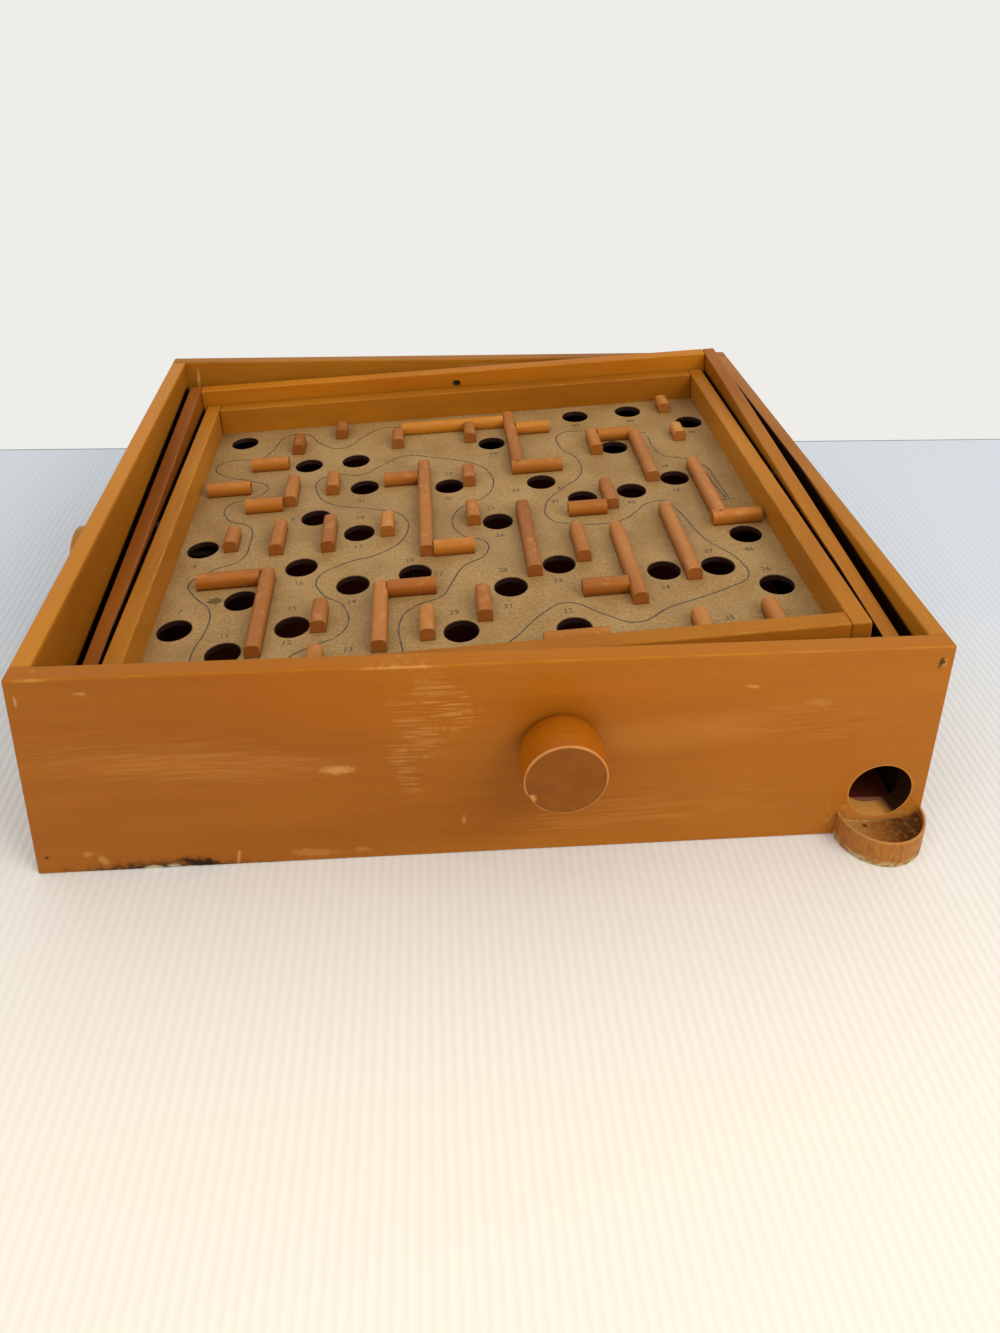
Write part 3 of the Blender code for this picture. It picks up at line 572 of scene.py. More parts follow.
for seed, (name, (low, high)) in enumerate(panel_bounds.items()):
    panel = planed_board("case_" + name, case_frame, low, high, CASE_EDGE_ROUND, panel_cuts[name])
    colours = FRONT_COLOURS if name == "front_panel" else OTHER_COLOURS
    finish = varnished_board("varnished softwood " + name, case_frame, low, high, seed * 11.0 + 2.0, colours,
                             CASE_WEAR, *CASE_MARKS[name], shade_and_grime_below=CASE_SHADE_AND_GRIME_BELOW[name])
    # The front board's bore gets painted light and shade, and the right board's end in it painted shade
    if name == "front_panel":
        soil_outlet(finish, OUTLET_RADIUS + 0.06 * MM, 1.0)
    elif name == "right_panel":
        soil_outlet(finish, 1.15 * OUTLET_RADIUS, 0.0)
    dress(panel, "case", finish, "varnished_pine", name)


# Corner pins: steel panel pins at the ends of the front and back boards, punched just under the surface.
# Old ones are dark brown with rust; two in the front board are filled, and leave only a pale mark.
PIN_HEAD_RADIUS = 0.72 * MM
PIN_HEAD_DEPTH = 0.45 * MM
PIN_HEAD_DOME = 0.3 * MM


def geometry_group(name, **inputs):
    """A geometry tree that takes a shape and more inputs, with underscores for the spaces in their names."""
    sockets = {label.replace("_", " "): kind for label, kind in inputs.items()}
    return new_group(name, "GeometryNodeTree", {"Geometry": "Geometry", **sockets}, {"Geometry": "Geometry"})


def closed_tree(tree, result, shape, material):
    """Ends a geometry tree: its shape as one real mesh, in its material."""
    real = add_node(tree, "GeometryNodeRealizeInstances", {0: shape})
    fill(result.inputs[0], add_node(tree, "GeometryNodeSetMaterial", {0: real, "Material": material}))
    return tree


def pin_heads_tree(material):
    """A small domed head at each point of the given mesh."""
    tree, given, result = geometry_group("pin heads", Head_Radius="Float", Head_Height="Float")
    head = add_node(tree, "GeometryNodeMeshUVSphere", {"Segments": 12, "Rings": 6, "Radius": 1.0})
    size = add_node(tree, "ShaderNodeCombineXYZ",
                    {0: given["Head Radius"], 1: given["Head Height"], 2: given["Head Radius"]})
    heads = add_node(tree, "GeometryNodeInstanceOnPoints",
                     {"Points": given["Geometry"], "Instance": head, "Scale": size})
    return closed_tree(tree, result, heads, material)


def grown(source, tree, name, values=None, piece_frame=None):
    """What a geometry tree makes of an object, as a plain mesh; values are the tree's inputs by name."""
    modifier = source.modifiers.new(name, "NODES")
    modifier.node_group = tree
    identifiers = {socket.name: socket.identifier for socket in tree.interface.items_tree
                   if socket.in_out == "INPUT"}
    for label, value in (values or {}).items():
        modifier[identifiers[label]] = value
    return finished_mesh([source], name, piece_frame)


def points_object(points, name, edges=()):
    """A mesh of bare points, or of lines between them, for a geometry tree to build on."""
    mesh = bpy.data.meshes.new(name)
    mesh.from_pydata(points, edges, [])
    return in_scene(name, mesh)


# Old iron: dull dark brown-grey where the air has rusted it, with little shine left
rusted_pin, tree, shader = new_material("rusted iron")
speck = noise_at(tree, seen_point(tree), 0.4 * MM)
rust = mixed(tree, speck, "2E2620", "5A3B26")
set_inputs(shader, Base_Color=rust, Roughness=0.7, Metallic=0.35)

pin_points = [(end * (case_half.x - PIN_INSET), side * (case_half.y - PIN_HEAD_DEPTH), height)
              for side, end, height in PIN_PLACES]
corner_pins = grown(points_object(pin_points, "pin_places"), pin_heads_tree(rusted_pin), "corner_pins",
                    {"Head Radius": PIN_HEAD_RADIUS, "Head Height": PIN_HEAD_DOME}, case_frame)
dress(corner_pins, "case", None, "steel")


# Outer frame: four thin rails of the same varnished softwood, glued and pinned at the corners, the side
# rails full length. The front and back rails are bored through for the pivot pins on which it tilts.
RING_EDGE_ROUND = 0.8 * MM
RING_COLOURS = {"left": ("9C5A1E", "8E4F18", "7C4212", "B47C3C"),
                "right": ("B07020", "A06218", "8A4C10", "C48C40"),
                "front": ("B07020", "A06218", "8A4C10", "C48C40"),
                "back": ("C8801E", "B86F14", "A05A0E", "CF9438")}
RING_WEAR = 0.45
RING_SHADE_AND_GRIME_TOP = 4.5 * MM
RING_ABOVE_AXIS = 8 * MM
RING_BELOW_AXIS = 8 * MM
RING_SIDE_GAP = 3.35 * MM
RING_END_GAP = 7.1 * MM
RING_RAIL = 7.5 * MM
SHAFT_RELIEF_WIDTH = 12 * MM
SHAFT_RELIEF_TOP = -2.0 * MM
GLUE_LINE = 0.1 * MM

ring_half = Vector((inside_half_width - RING_SIDE_GAP, inside_half_depth - RING_END_GAP))
ring_open = ring_half - Vector((RING_RAIL, RING_RAIL))


def frame_rails(half, opening, low, high):
    """The bounds of four rails round an opening: side rails full length, the others between them."""
    between = opening.x - GLUE_LINE
    return {"left": ((-half.x, -half.y, low), (-opening.x, half.y, high)),
            "right": ((opening.x, -half.y, low), (half.x, half.y, high)),
            "front": ((-between, -half.y, low), (between, -opening.y, high)),
            "back": ((-between, opening.y, low), (between, half.y, high))}


ring_bounds = frame_rails(ring_half, ring_open, -RING_BELOW_AXIS, RING_ABOVE_AXIS)
shaft_in_ring = in_frame(ring_frame, joints["front_knob_turn"]["pos_m"])
ring_cuts = {}
for side_name, side in (("front", -1), ("back", 1)):
    ring_cuts[side_name] = [drill("Y", side * (ring_open.y - CUT_PAST), side * (ring_half.y + CUT_PAST),
                                  (0.0, 0.0), PIVOT_BORE_RADIUS, 32)]
for side_name, side in (("left", -1), ("right", 1)):
    ring_cuts[side_name] = [drill("X", side * (ring_open.x - CUT_PAST), side * (ring_half.x + CUT_PAST),
                                  (0.0, 0.0), PIVOT_BORE_RADIUS, 32)]
ring_cuts["front"].append(raw_object(block_mesh(
    (shaft_in_ring.x - SHAFT_RELIEF_WIDTH / 2, -ring_half.y - CUT_PAST, -RING_BELOW_AXIS - CUT_PAST),
    (shaft_in_ring.x + SHAFT_RELIEF_WIDTH / 2, -ring_open.y + CUT_PAST, SHAFT_RELIEF_TOP)), "relief_cutter"))
for seed, (side_name, (low, high)) in enumerate(ring_bounds.items()):
    rail = planed_board("outer_rail_" + side_name, ring_frame, low, high, RING_EDGE_ROUND,
                        ring_cuts[side_name])
    # Their faces beside the inner frame are darkened low down, as painted shade with some dust
    finish = varnished_board("varnished softwood outer rail " + side_name, ring_frame, low, high,
                             seed * 7.0 + 61.0, RING_COLOURS[side_name], RING_WEAR, shade_and_grime=shade_and_grime_by_board,
                             shade_and_grime_span=(ring_open.x - 0.5 * MM, ring_open.x + 0.6 * MM),
                             shade_and_grime_below=RING_SHADE_AND_GRIME_TOP)
    dress(rail, "ring", finish, "varnished_pine", "outer_frame_" + side_name)


# Inner frame: four deeper rails round the maze board, which is let up into a rebate along their lower
# inner edges. The hands that play rest here, so its varnish is the most worn of all.
INNER_EDGE_ROUND = 1.0 * MM
INNER_COLOURS = ("B97824", "A86818", "92540F", "CC9648")
INNER_BACK_COLOURS = ("A96A18", "985A10", "844A0A", "C08838")
INNER_WEAR = 0.55
INNER_GLOSS = 0.42
INNER_ABOVE_AXIS = 6 * MM
INNER_BELOW_AXIS = 14.5 * MM
INNER_SIDE_GAP = 2.95 * MM
INNER_END_GAP = 1.8 * MM
INNER_RAIL = 8.6 * MM
BOARD_BELOW_AXIS = 10.45 * MM
BOARD_THICKNESS = 3 * MM
REBATE = 3 * MM
TILT_PIN_DEPTH = 5 * MM

inner_half = ring_open - Vector((INNER_SIDE_GAP, INNER_END_GAP))
field_half = inner_half - Vector((INNER_RAIL, INNER_RAIL))
inner_bounds = frame_rails(inner_half, field_half, -INNER_BELOW_AXIS, INNER_ABOVE_AXIS)
for seed, (side_name, (low, high)) in enumerate(inner_bounds.items()):
    rebate = block_mesh((-field_half.x - REBATE, -field_half.y - REBATE, -INNER_BELOW_AXIS - CUT_PAST),
                        (field_half.x + REBATE, field_half.y + REBATE, GLUE_LINE - BOARD_BELOW_AXIS))
    cuts = [raw_object(rebate, "rebate_cutter")]
    if side_name in ("left", "right"):
        side = -1 if side_name == "left" else 1
        cuts.append(drill("X", side * (inner_half.x - TILT_PIN_DEPTH), side * (inner_half.x + CUT_PAST),
                          (0.0, 0.0), PIVOT_BORE_RADIUS, 32))
    rail = planed_board("inner_rail_" + side_name, board_frame, low, high, INNER_EDGE_ROUND, cuts)
    colours = INNER_BACK_COLOURS if side_name == "back" else INNER_COLOURS
    # Their outer faces in the slit by the outer frame are darkened low down, as painted shade with some dust
    finish = varnished_board("worn varnished softwood inner rail " + side_name, board_frame, low, high,
                             seed * 5.0 + 113.0, colours, INNER_WEAR, gloss=INNER_GLOSS,
                             shade_and_grime_span=(inner_half.x - 0.4 * MM, 1.0),
                             shade_and_grime_below=INNER_ABOVE_AXIS - 1.5 * MM)
    dress(rail, "board", finish, "worn_pine", "inner_frame_" + side_name)


# Maze board: 3 mm hardboard, smooth brown face up, drilled with 33 holes a little larger than the ball.
# The drill leaves a soft broken lip, and the bores show the red-brown pressed fibre, darkened nearly to
# black as painted shade.
COLUMNS = 12
ROWS = 10
HOLE_RADIUS = 7.8 * MM
HOLE_LIP = 0.45 * MM
HOLE_SIDES = 56
HOLE_SHARES = (
    (-5.35, 4.4), (-3.65, 2.95), (-2.55, 3.0), (-2.3, 1.7), (-3.3, 0.55), (-5.55, -0.35), (-2.35, -0.2),
    (-3.45, -1.3), (-2.4, -2.05), (-4.5, -2.25), (-5.6, -3.0), (-3.45, -3.2), (-4.6, -3.8), (-1.2, -1.85),
    (-0.4, 1.45), (0.7, 3.35), (0.55, -0.2), (1.65, 1.3), (0.6, -2.55), (-0.4, -3.75), (1.6, -1.95),
    (2.9, 4.45), (4.25, 4.5), (5.6, 3.65), (3.55, 2.65), (2.45, 0.45), (3.55, 0.6), (4.6, 1.0),
    (5.45, -1.45), (3.55, -2.45), (4.6, -2.45), (5.5, -3.2), (1.6, -3.95),
)
SMEAR_SHARES = (-5.0, -2.2)

cell = Vector((2 * field_half.x / COLUMNS, 2 * field_half.y / ROWS))


def on_board(column, row, height=0.0):
    """A point over the board's face, from its column and row shares counted from the middle."""
    return Vector((column * cell.x, row * cell.y, height - BOARD_BELOW_AXIS))


def drilled_board_tree(material):
    """A flat board with a bore at every point of the mesh, each with a small cone for its broken lip."""
    tree, given, result = geometry_group("drilled board", Board_Size="Vector", Hole_Radius="Float",
                                         Lip="Float")
    size = add_node(tree, "ShaderNodeSeparateXYZ", {0: given["Board Size"]}).outputs
    outline = add_node(tree, "GeometryNodeCurvePrimitiveQuadrilateral",
                       {"Width": size[0], "Height": size[1]})
    wide = maths(tree, "ADD", given["Hole Radius"], given["Lip"])
    bottom = maths(tree, "MULTIPLY", size[2], -1.0)
    lip_bottom = maths(tree, "MULTIPLY", given["Lip"], -1.0)
    wall_height = maths(tree, "SUBTRACT", size[2], given["Lip"])
    wall_middle = maths(tree, "MULTIPLY_ADD", wall_height, -0.5, lip_bottom)
    parts = []
    for rim_radius, height in ((wide, None), (given["Hole Radius"], bottom)):
        rim = add_node(tree, "GeometryNodeCurvePrimitiveCircle",
                       {"Resolution": HOLE_SIDES, "Radius": rim_radius})
        rims = add_node(tree, "GeometryNodeInstanceOnPoints",
                        {"Points": given["Geometry"], "Instance": rim})
        lines = add_node(tree, "GeometryNodeJoinGeometry", {0: outline})
        fill(lines.inputs[0], add_node(tree, "GeometryNodeRealizeInstances", {0: rims}))
        face = add_node(tree, "GeometryNodeFillCurve", {0: lines}, mode="TRIANGLES")
        if height is not None:
            down = add_node(tree, "ShaderNodeCombineXYZ", {2: height})
            face = add_node(tree, "GeometryNodeTransform", {0: face, "Translation": down})
        parts.append(face)
    wall = add_node(tree, "GeometryNodeMeshCylinder", {"Vertices": HOLE_SIDES,
                                                       "Radius": given["Hole Radius"],
                                                       "Depth": wall_height}, fill_type="NONE")
    lip = add_node(tree, "GeometryNodeMeshCone", {"Vertices": HOLE_SIDES, "Radius Top": wide,
                                                  "Radius Bottom": given["Hole Radius"],
                                                  "Depth": given["Lip"]}, fill_type="NONE")
    for part, height in ((wall, wall_middle), (lip, lip_bottom)):
        down = add_node(tree, "ShaderNodeCombineXYZ", {2: height})
        seated = add_node(tree, "GeometryNodeTransform", {0: part, "Translation": down})
        placed = add_node(tree, "GeometryNodeInstanceOnPoints",
                          {"Points": given["Geometry"], "Instance": seated})
        parts.append(add_node(tree, "GeometryNodeRealizeInstances", {0: placed}))
    outline_mesh = add_node(tree, "GeometryNodeCurveToMesh", {0: outline})
    depth = add_node(tree, "ShaderNodeCombineXYZ", {2: bottom})
    parts.append(add_node(tree, "GeometryNodeExtrudeMesh", {"Mesh": outline_mesh, "Offset": depth},
                          mode="EDGES"))
    joined = add_node(tree, "GeometryNodeJoinGeometry")
    for part in parts:
        fill(joined.inputs[0], part)
    return closed_tree(tree, result, joined, material)


WELD_REACH = 0.001 * MM
BOARD_SHARP_DEG = 30


def welded(piece):
    """Joins the seams of a mesh built in parts, turns its faces outwards and shades it smooth."""
    bm = bmesh.new()
    bm.from_mesh(piece.data)
    bmesh.ops.remove_doubles(bm, verts=bm.verts, dist=WELD_REACH)
    bmesh.ops.recalc_face_normals(bm, faces=bm.faces)
    bm.to_mesh(piece.data)
    bm.free()
    piece.data.shade_smooth()
    piece.data.set_sharp_from_angle(angle=math.radians(BOARD_SHARP_DEG))


# Hardboard: pressed wood fibre, its face smoothed and sealed, so it is dull and speckled grey-brown, with
# paler scuffs from the ball. Fibres are drawn about 1.5 mm apart, coarser than real ones, so that they show.
hardboard, tree, shader = new_material("sealed hardboard")
place = place_in(tree, board_frame, seen_point(tree))
layers = {}
for name, width_mm, detail in (("speckle", 1.5, 4.0), ("cloud", 22.0, 4.0), ("stain", 75.0, 2.0)):
    layers[name] = noise_at(tree, place, width_mm * MM, detail)
cloud = mapped(tree, layers["cloud"], (0.35, 0.7))
face = mixed(tree, cloud, "A68452", "94713E")
speckle = mapped(tree, layers["speckle"], (0.3, 0.7), (0.76, 1.2))
speckled = vectors(tree, "SCALE", face, speckle)
stain = mapped(tree, layers["stain"], (0.5, 0.75), (0.0, 0.5))
stained = mixed(tree, stain, speckled, "8A6A42")
# The board is drawn darker towards the rails, and a dark smear lies by one of the left holes
rail_reach = add_node(tree, "ShaderNodeGroup", {"Position": place,
                                                "Half Size": (field_half.x, field_half.y, 1.0)},
                      node_tree=edge_distance)
by_rails = maths(tree, "MULTIPLY_ADD", layers["cloud"], 40 * MM, rail_reach)
darker_near_rails = mapped(tree, by_rails, (44 * MM, 18 * MM), (0.0, 0.75))
darkened = mixed(tree, darker_near_rails, stained, "7E5A2A")
smear_place = add_node(tree, "ShaderNodeMapping", {"Vector": place, "Location": on_board(*SMEAR_SHARES),
                                                   "Scale": (3.6 * MM, 2.4 * MM, 1.0)},
                       vector_type="TEXTURE")
smear_reach = vectors(tree, "LENGTH", smear_place)
smear_edge = maths(tree, "MULTIPLY_ADD", layers["speckle"], 0.8, smear_reach)
smear = mapped(tree, smear_edge, (1.6, 1.2), (0.0, 0.8))
smeared = mixed(tree, smear, darkened, "4A3C1E")
scuff_lines = add_node(tree, "ShaderNodeMapping",
                       {"Vector": place, "Rotation": (0.0, 0.0, 0.6), "Scale": (0.12, 1.0, 1.0)})
scuffs = noise_at(tree, scuff_lines, 1.6 * MM)
scuff = mapped(tree, scuffs, (0.66, 0.78), (0.0, 0.35))
scuffed = mixed(tree, scuff, smeared, "BEA070")
depth = component(tree, place, "Z")
bore = mapped(tree, depth, (-BOARD_BELOW_AXIS - 0.05 * MM, -BOARD_BELOW_AXIS - 0.4 * MM))
# The bore walls are pressed fibre, darkened nearly to black as painted shade
fibre_wall_and_shade = mixed(tree, layers["speckle"], "1C0C07", "34180C")
colour = mixed(tree, bore, scuffed, fibre_wall_and_shade)
relief = add_node(tree, "ShaderNodeBump",
                  {"Height": layers["speckle"], "Distance": 0.08 * MM, "Strength": 0.3})
set_inputs(shader, Base_Color=colour, Roughness=0.62, Normal=relief, Specular_IOR_Level=0.3)

hole_points = [on_board(column, row) for column, row in HOLE_SHARES]
board_size = Vector((2 * (field_half.x + REBATE - GLUE_LINE), 2 * (field_half.y + REBATE - GLUE_LINE),
                     BOARD_THICKNESS))
board_centre = Matrix.Translation((0.0, 0.0, -BOARD_BELOW_AXIS))
flat_points = [(point.x, point.y, 0.0) for point in hole_points]
maze_board = grown(points_object(flat_points, "hole_places"), drilled_board_tree(hardboard),
                   "maze_board_face", {"Board Size": board_size, "Hole Radius": HOLE_RADIUS,
                                       "Lip": HOLE_LIP}, board_frame @ board_centre)
welded(maze_board)
dress(maze_board, "board", None, "hardboard", "maze_board")


# Bars: short strips of reddish beech, sawn square, their top edges eased with a plane, cut to length and
# glued down. No two are quite the same red, and the sawn ends are darker than the sides.
BAR_WIDTH = 7 * MM
BAR_HEIGHT = 6.6 * MM
BAR_EASED = 2.1 * MM
BAR_SUNK = 0.05 * MM
BAR_SHARES = (
    ((1.2, 4.5, 1.2, 1.85), (-1.45, 4.25, 1.2, 4.25), (0.2, 4.25, 0.2, 3.45), (1.2, 3.8, 2.15, 3.8),
     (1.05, 1.85, 2.2, 1.85)),
    ((-3.9, 2.05, -3.9, 1.1), (-4.85, 1.05, -4.0, 1.05)),
    ((-0.95, 2.3, -0.95, -1.3), (-1.85, 1.75, -0.95, 1.75), (-0.95, -1.2, 0.0, -1.2)),
    ((-4.05, -1.6, -4.05, -4.0), (-5.4, -1.7, -4.05, -1.7)),
    ((-1.85, -2.35, -1.85, -4.15), (-1.85, -2.45, -0.8, -2.45)),
    ((3.1, 3.2, 3.1, 2.35), (3.1, 3.1, 4.1, 3.1), (4.1, 3.1, 4.1, 0.9)),
    ((3.0, 0.8, 3.0, -0.1), (2.05, -0.15, 2.9, -0.15)),
    ((5.1, 1.4, 5.1, -0.95), (4.9, -0.95, 5.9, -0.95)),
    ((2.9, -1.0, 2.9, -3.45), (1.9, -2.95, 2.9, -2.95)),
    ((-3.95, 4.15, -3.95, 3.55),), ((-1.55, 4.05, -1.55, 3.45),), ((-3.0, 2.1, -3.0, 1.45),),
    ((0.05, 1.95, 0.05, 1.35),), ((0.05, 0.35, 0.05, -0.3),), ((-4.95, 0.05, -4.95, -0.55),),
    ((-4.0, 0.2, -4.0, -0.8),), ((-2.95, 0.2, -2.95, -0.85),), ((-1.75, 0.15, -1.75, -0.45),),
    ((1.1, 0.15, 1.1, -2.3),), ((2.1, -0.9, 2.1, -1.95),), ((-2.95, -2.75, -2.95, -3.45),),
    ((-1.0, -3.25, -1.0, -3.95),), ((0.05, -2.75, 0.05, -3.55),), ((5.15, 3.2, 5.15, 2.7),),
    ((4.05, -0.4, 4.05, -2.85),), ((-4.95, 2.95, -4.1, 2.95),), ((-5.8, 1.9, -4.85, 1.9),),
    ((-2.95, 4.7, -2.95, 4.2),), ((5.15, 4.75, 5.15, 4.25),), ((-2.95, -4.1, -2.95, -4.9),),
    ((1.0, -4.4, 2.15, -4.4),), ((3.8, -4.0, 3.8, -4.9),), ((5.1, -3.9, 5.1, -4.9),),
)
wall_nodes = sorted(name for name in frame["nodes"] if name.startswith("maze_wall_"))


def butted(end, other, blocker):
    """An end of a bar, drawn back to the side of the bar that it is glued against."""
    first, last = on_board(*blocker[:2]), on_board(*blocker[2:])
    low = Vector((min(first.x, last.x), min(first.y, last.y)))
    high = Vector((max(first.x, last.x), max(first.y, last.y)))
    across = 0 if high.x - low.x < high.y - low.y else 1
    inside = all(low[axis] - BAR_WIDTH / 2 < end[axis] < high[axis] + BAR_WIDTH / 2 for axis in (0, 1))
    runs_across = abs((other - end)[across]) > abs((other - end)[1 - across])
    if not (inside and runs_across):
        return end
    moved = end.copy()
    side = 1 if other[across] > end[across] else -1
    moved[across] = low[across] + side * BAR_WIDTH / 2
    return moved


bar_points = []
for group in BAR_SHARES:
    for number, shares in enumerate(group):
        start, stop = on_board(*shares[:2], -BAR_SUNK), on_board(*shares[2:], -BAR_SUNK)
        for blocker in group[:number]:
            start, stop = butted(start, stop, blocker), butted(stop, start, blocker)
        bar_points += [start, stop]


def bars_tree(material):
    """A beech strip along every line of the mesh: a square section, eased along its two top edges."""
    tree, given, result = geometry_group("beech bars", Bar_Width="Float", Bar_Height="Float", Eased="Float",
                                         Seed="Int")
    lines = add_node(tree, "GeometryNodeMeshToCurve", {0: given["Geometry"]})
    level = add_node(tree, "GeometryNodeSetCurveNormal", {0: lines}, mode="Z_UP")
    point_number = add_node(tree, "GeometryNodeInputIndex")
    half_number = maths(tree, "MULTIPLY", point_number, 0.5)
    whole_number = maths(tree, "FLOOR", half_number)
    shade = add_node(tree, "FunctionNodeRandomValue",
                     {"Min": 0.0, "Max": 1.0, "ID": whole_number, "Seed": given["Seed"]})
    toned = add_node(tree, "GeometryNodeStoreNamedAttribute",
                     {0: level, "Name": "bar_tone", "Value": shade}, domain="POINT")
    heading = add_node(tree, "GeometryNodeInputTangent")
    across = component(tree, heading, "Y")
    turned_back = maths(tree, "ABSOLUTE", across)
    marked = add_node(tree, "GeometryNodeStoreNamedAttribute",
                      {0: toned, "Name": "bar_turn", "Value": turned_back}, domain="POINT")
    section = add_node(tree, "GeometryNodeCurvePrimitiveQuadrilateral",
                       {"Width": given["Bar Width"], "Height": given["Bar Height"]})
    half_height = maths(tree, "MULTIPLY", given["Bar Height"], 0.5)
    lift = add_node(tree, "ShaderNodeCombineXYZ", {1: half_height})
    standing = add_node(tree, "GeometryNodeTransform", {0: section, "Translation": lift})
    corner = add_node(tree, "GeometryNodeInputPosition")
    corner_height = component(tree, corner, "Y")
    at_top = maths(tree, "GREATER_THAN", corner_height, half_height)
    radius = maths(tree, "MULTIPLY", at_top, given["Eased"])
    eased = add_node(tree, "GeometryNodeFilletCurve",
                     {"Curve": standing, "Count": 2, "Radius": radius, "Limit Radius": True}, mode="POLY")
    upright = add_node(tree, "GeometryNodeTransform", {0: eased, "Rotation": (0.0, 0.0, math.pi)})
    strips = add_node(tree, "GeometryNodeCurveToMesh",
                      {0: marked, "Profile Curve": upright, "Fill Caps": True})
    return closed_tree(tree, result, strips, material)


# Beech: a hard pale wood stained red-brown under thin varnish, straight grained, with short dark flecks.
# Its end grain drinks the stain and goes dark.
stained_beech, tree, shader = new_material("stained beech")
place = place_in(tree, board_frame, seen_point(tree))
tone = add_node(tree, "ShaderNodeAttribute", attribute_name="bar_tone").outputs["Fac"]
bar_turn = add_node(tree, "ShaderNodeAttribute", attribute_name="bar_turn").outputs["Fac"]
quarter = add_node(tree, "ShaderNodeMapping", {"Vector": place, "Rotation": (0.0, 0.0, math.pi / 2)})
along_bar = add_node(tree, "ShaderNodeMix", {0: bar_turn, 4: place, 5: quarter}, data_type="VECTOR")
strip = mixed(tree, tone, "B06420", "CC8622")
# Bars that run front to back are painted paler tan and bars across more golden, as painted light: the lit
# front faces of the bars across and the sheen on the tops of the others
front_back_sheen_share = maths(tree, "MULTIPLY", bar_turn, 0.5)
light = mixed(tree, front_back_sheen_share, strip, "B47C4C")
grain = wood(tree, along_bar, 4.0, light, "A05E1E", "8C4C18")
strength = mapped(tree, tone, to=(0.92, 1.1))
shaded = vectors(tree, "SCALE", grain, strength)
depth = component(tree, place, "Z")
rubs = noise_at(tree, along_bar, 5 * MM, 4.0)
rub = mapped(tree, rubs, (0.54, 0.72), (0.0, 0.25))
on_top = mapped(tree, depth, (BAR_HEIGHT - BAR_EASED - BOARD_BELOW_AXIS,
                              BAR_HEIGHT - 0.5 * MM - BOARD_BELOW_AXIS))
rubbed = maths(tree, "MULTIPLY", rub, on_top)
bare = mixed(tree, rubbed, shaded, "D8A06C")
facing = vectors(tree, "ABSOLUTE", add_node(tree, "ShaderNodeNewGeometry").outputs["Normal"])
facing = add_node(tree, "ShaderNodeSeparateXYZ", {0: facing}).outputs
on_end = add_node(tree, "ShaderNodeMix", {0: bar_turn, 2: facing[0], 3: facing[1]})
sawn = mapped(tree, on_end, (0.8, 0.95), (0.0, 0.6))
ended = mixed(tree, sawn, bare, "84460F")
# The foot of each bar is darkened where it meets the board, as painted shade with some dust
shade_and_grime = mapped(tree, depth, (1.2 * MM - BOARD_BELOW_AXIS, -BOARD_BELOW_AXIS), (0.0, 0.5))
foot_shaded = mixed(tree, shade_and_grime, ended, "4A2810")
set_inputs(shader, Base_Color=foot_shaded, Roughness=0.5, Specular_IOR_Level=0.22)

bar_pairs = [(first, first + 1) for first in range(0, len(bar_points), 2)]
bars = grown(points_object(bar_points, "bar_places", bar_pairs), bars_tree(stained_beech), "maze_bars",
             {"Bar Width": BAR_WIDTH, "Bar Height": BAR_HEIGHT, "Eased": BAR_EASED, "Seed": 5}, board_frame)
dress(bars, "board", None, "stained_beech", *wall_nodes)


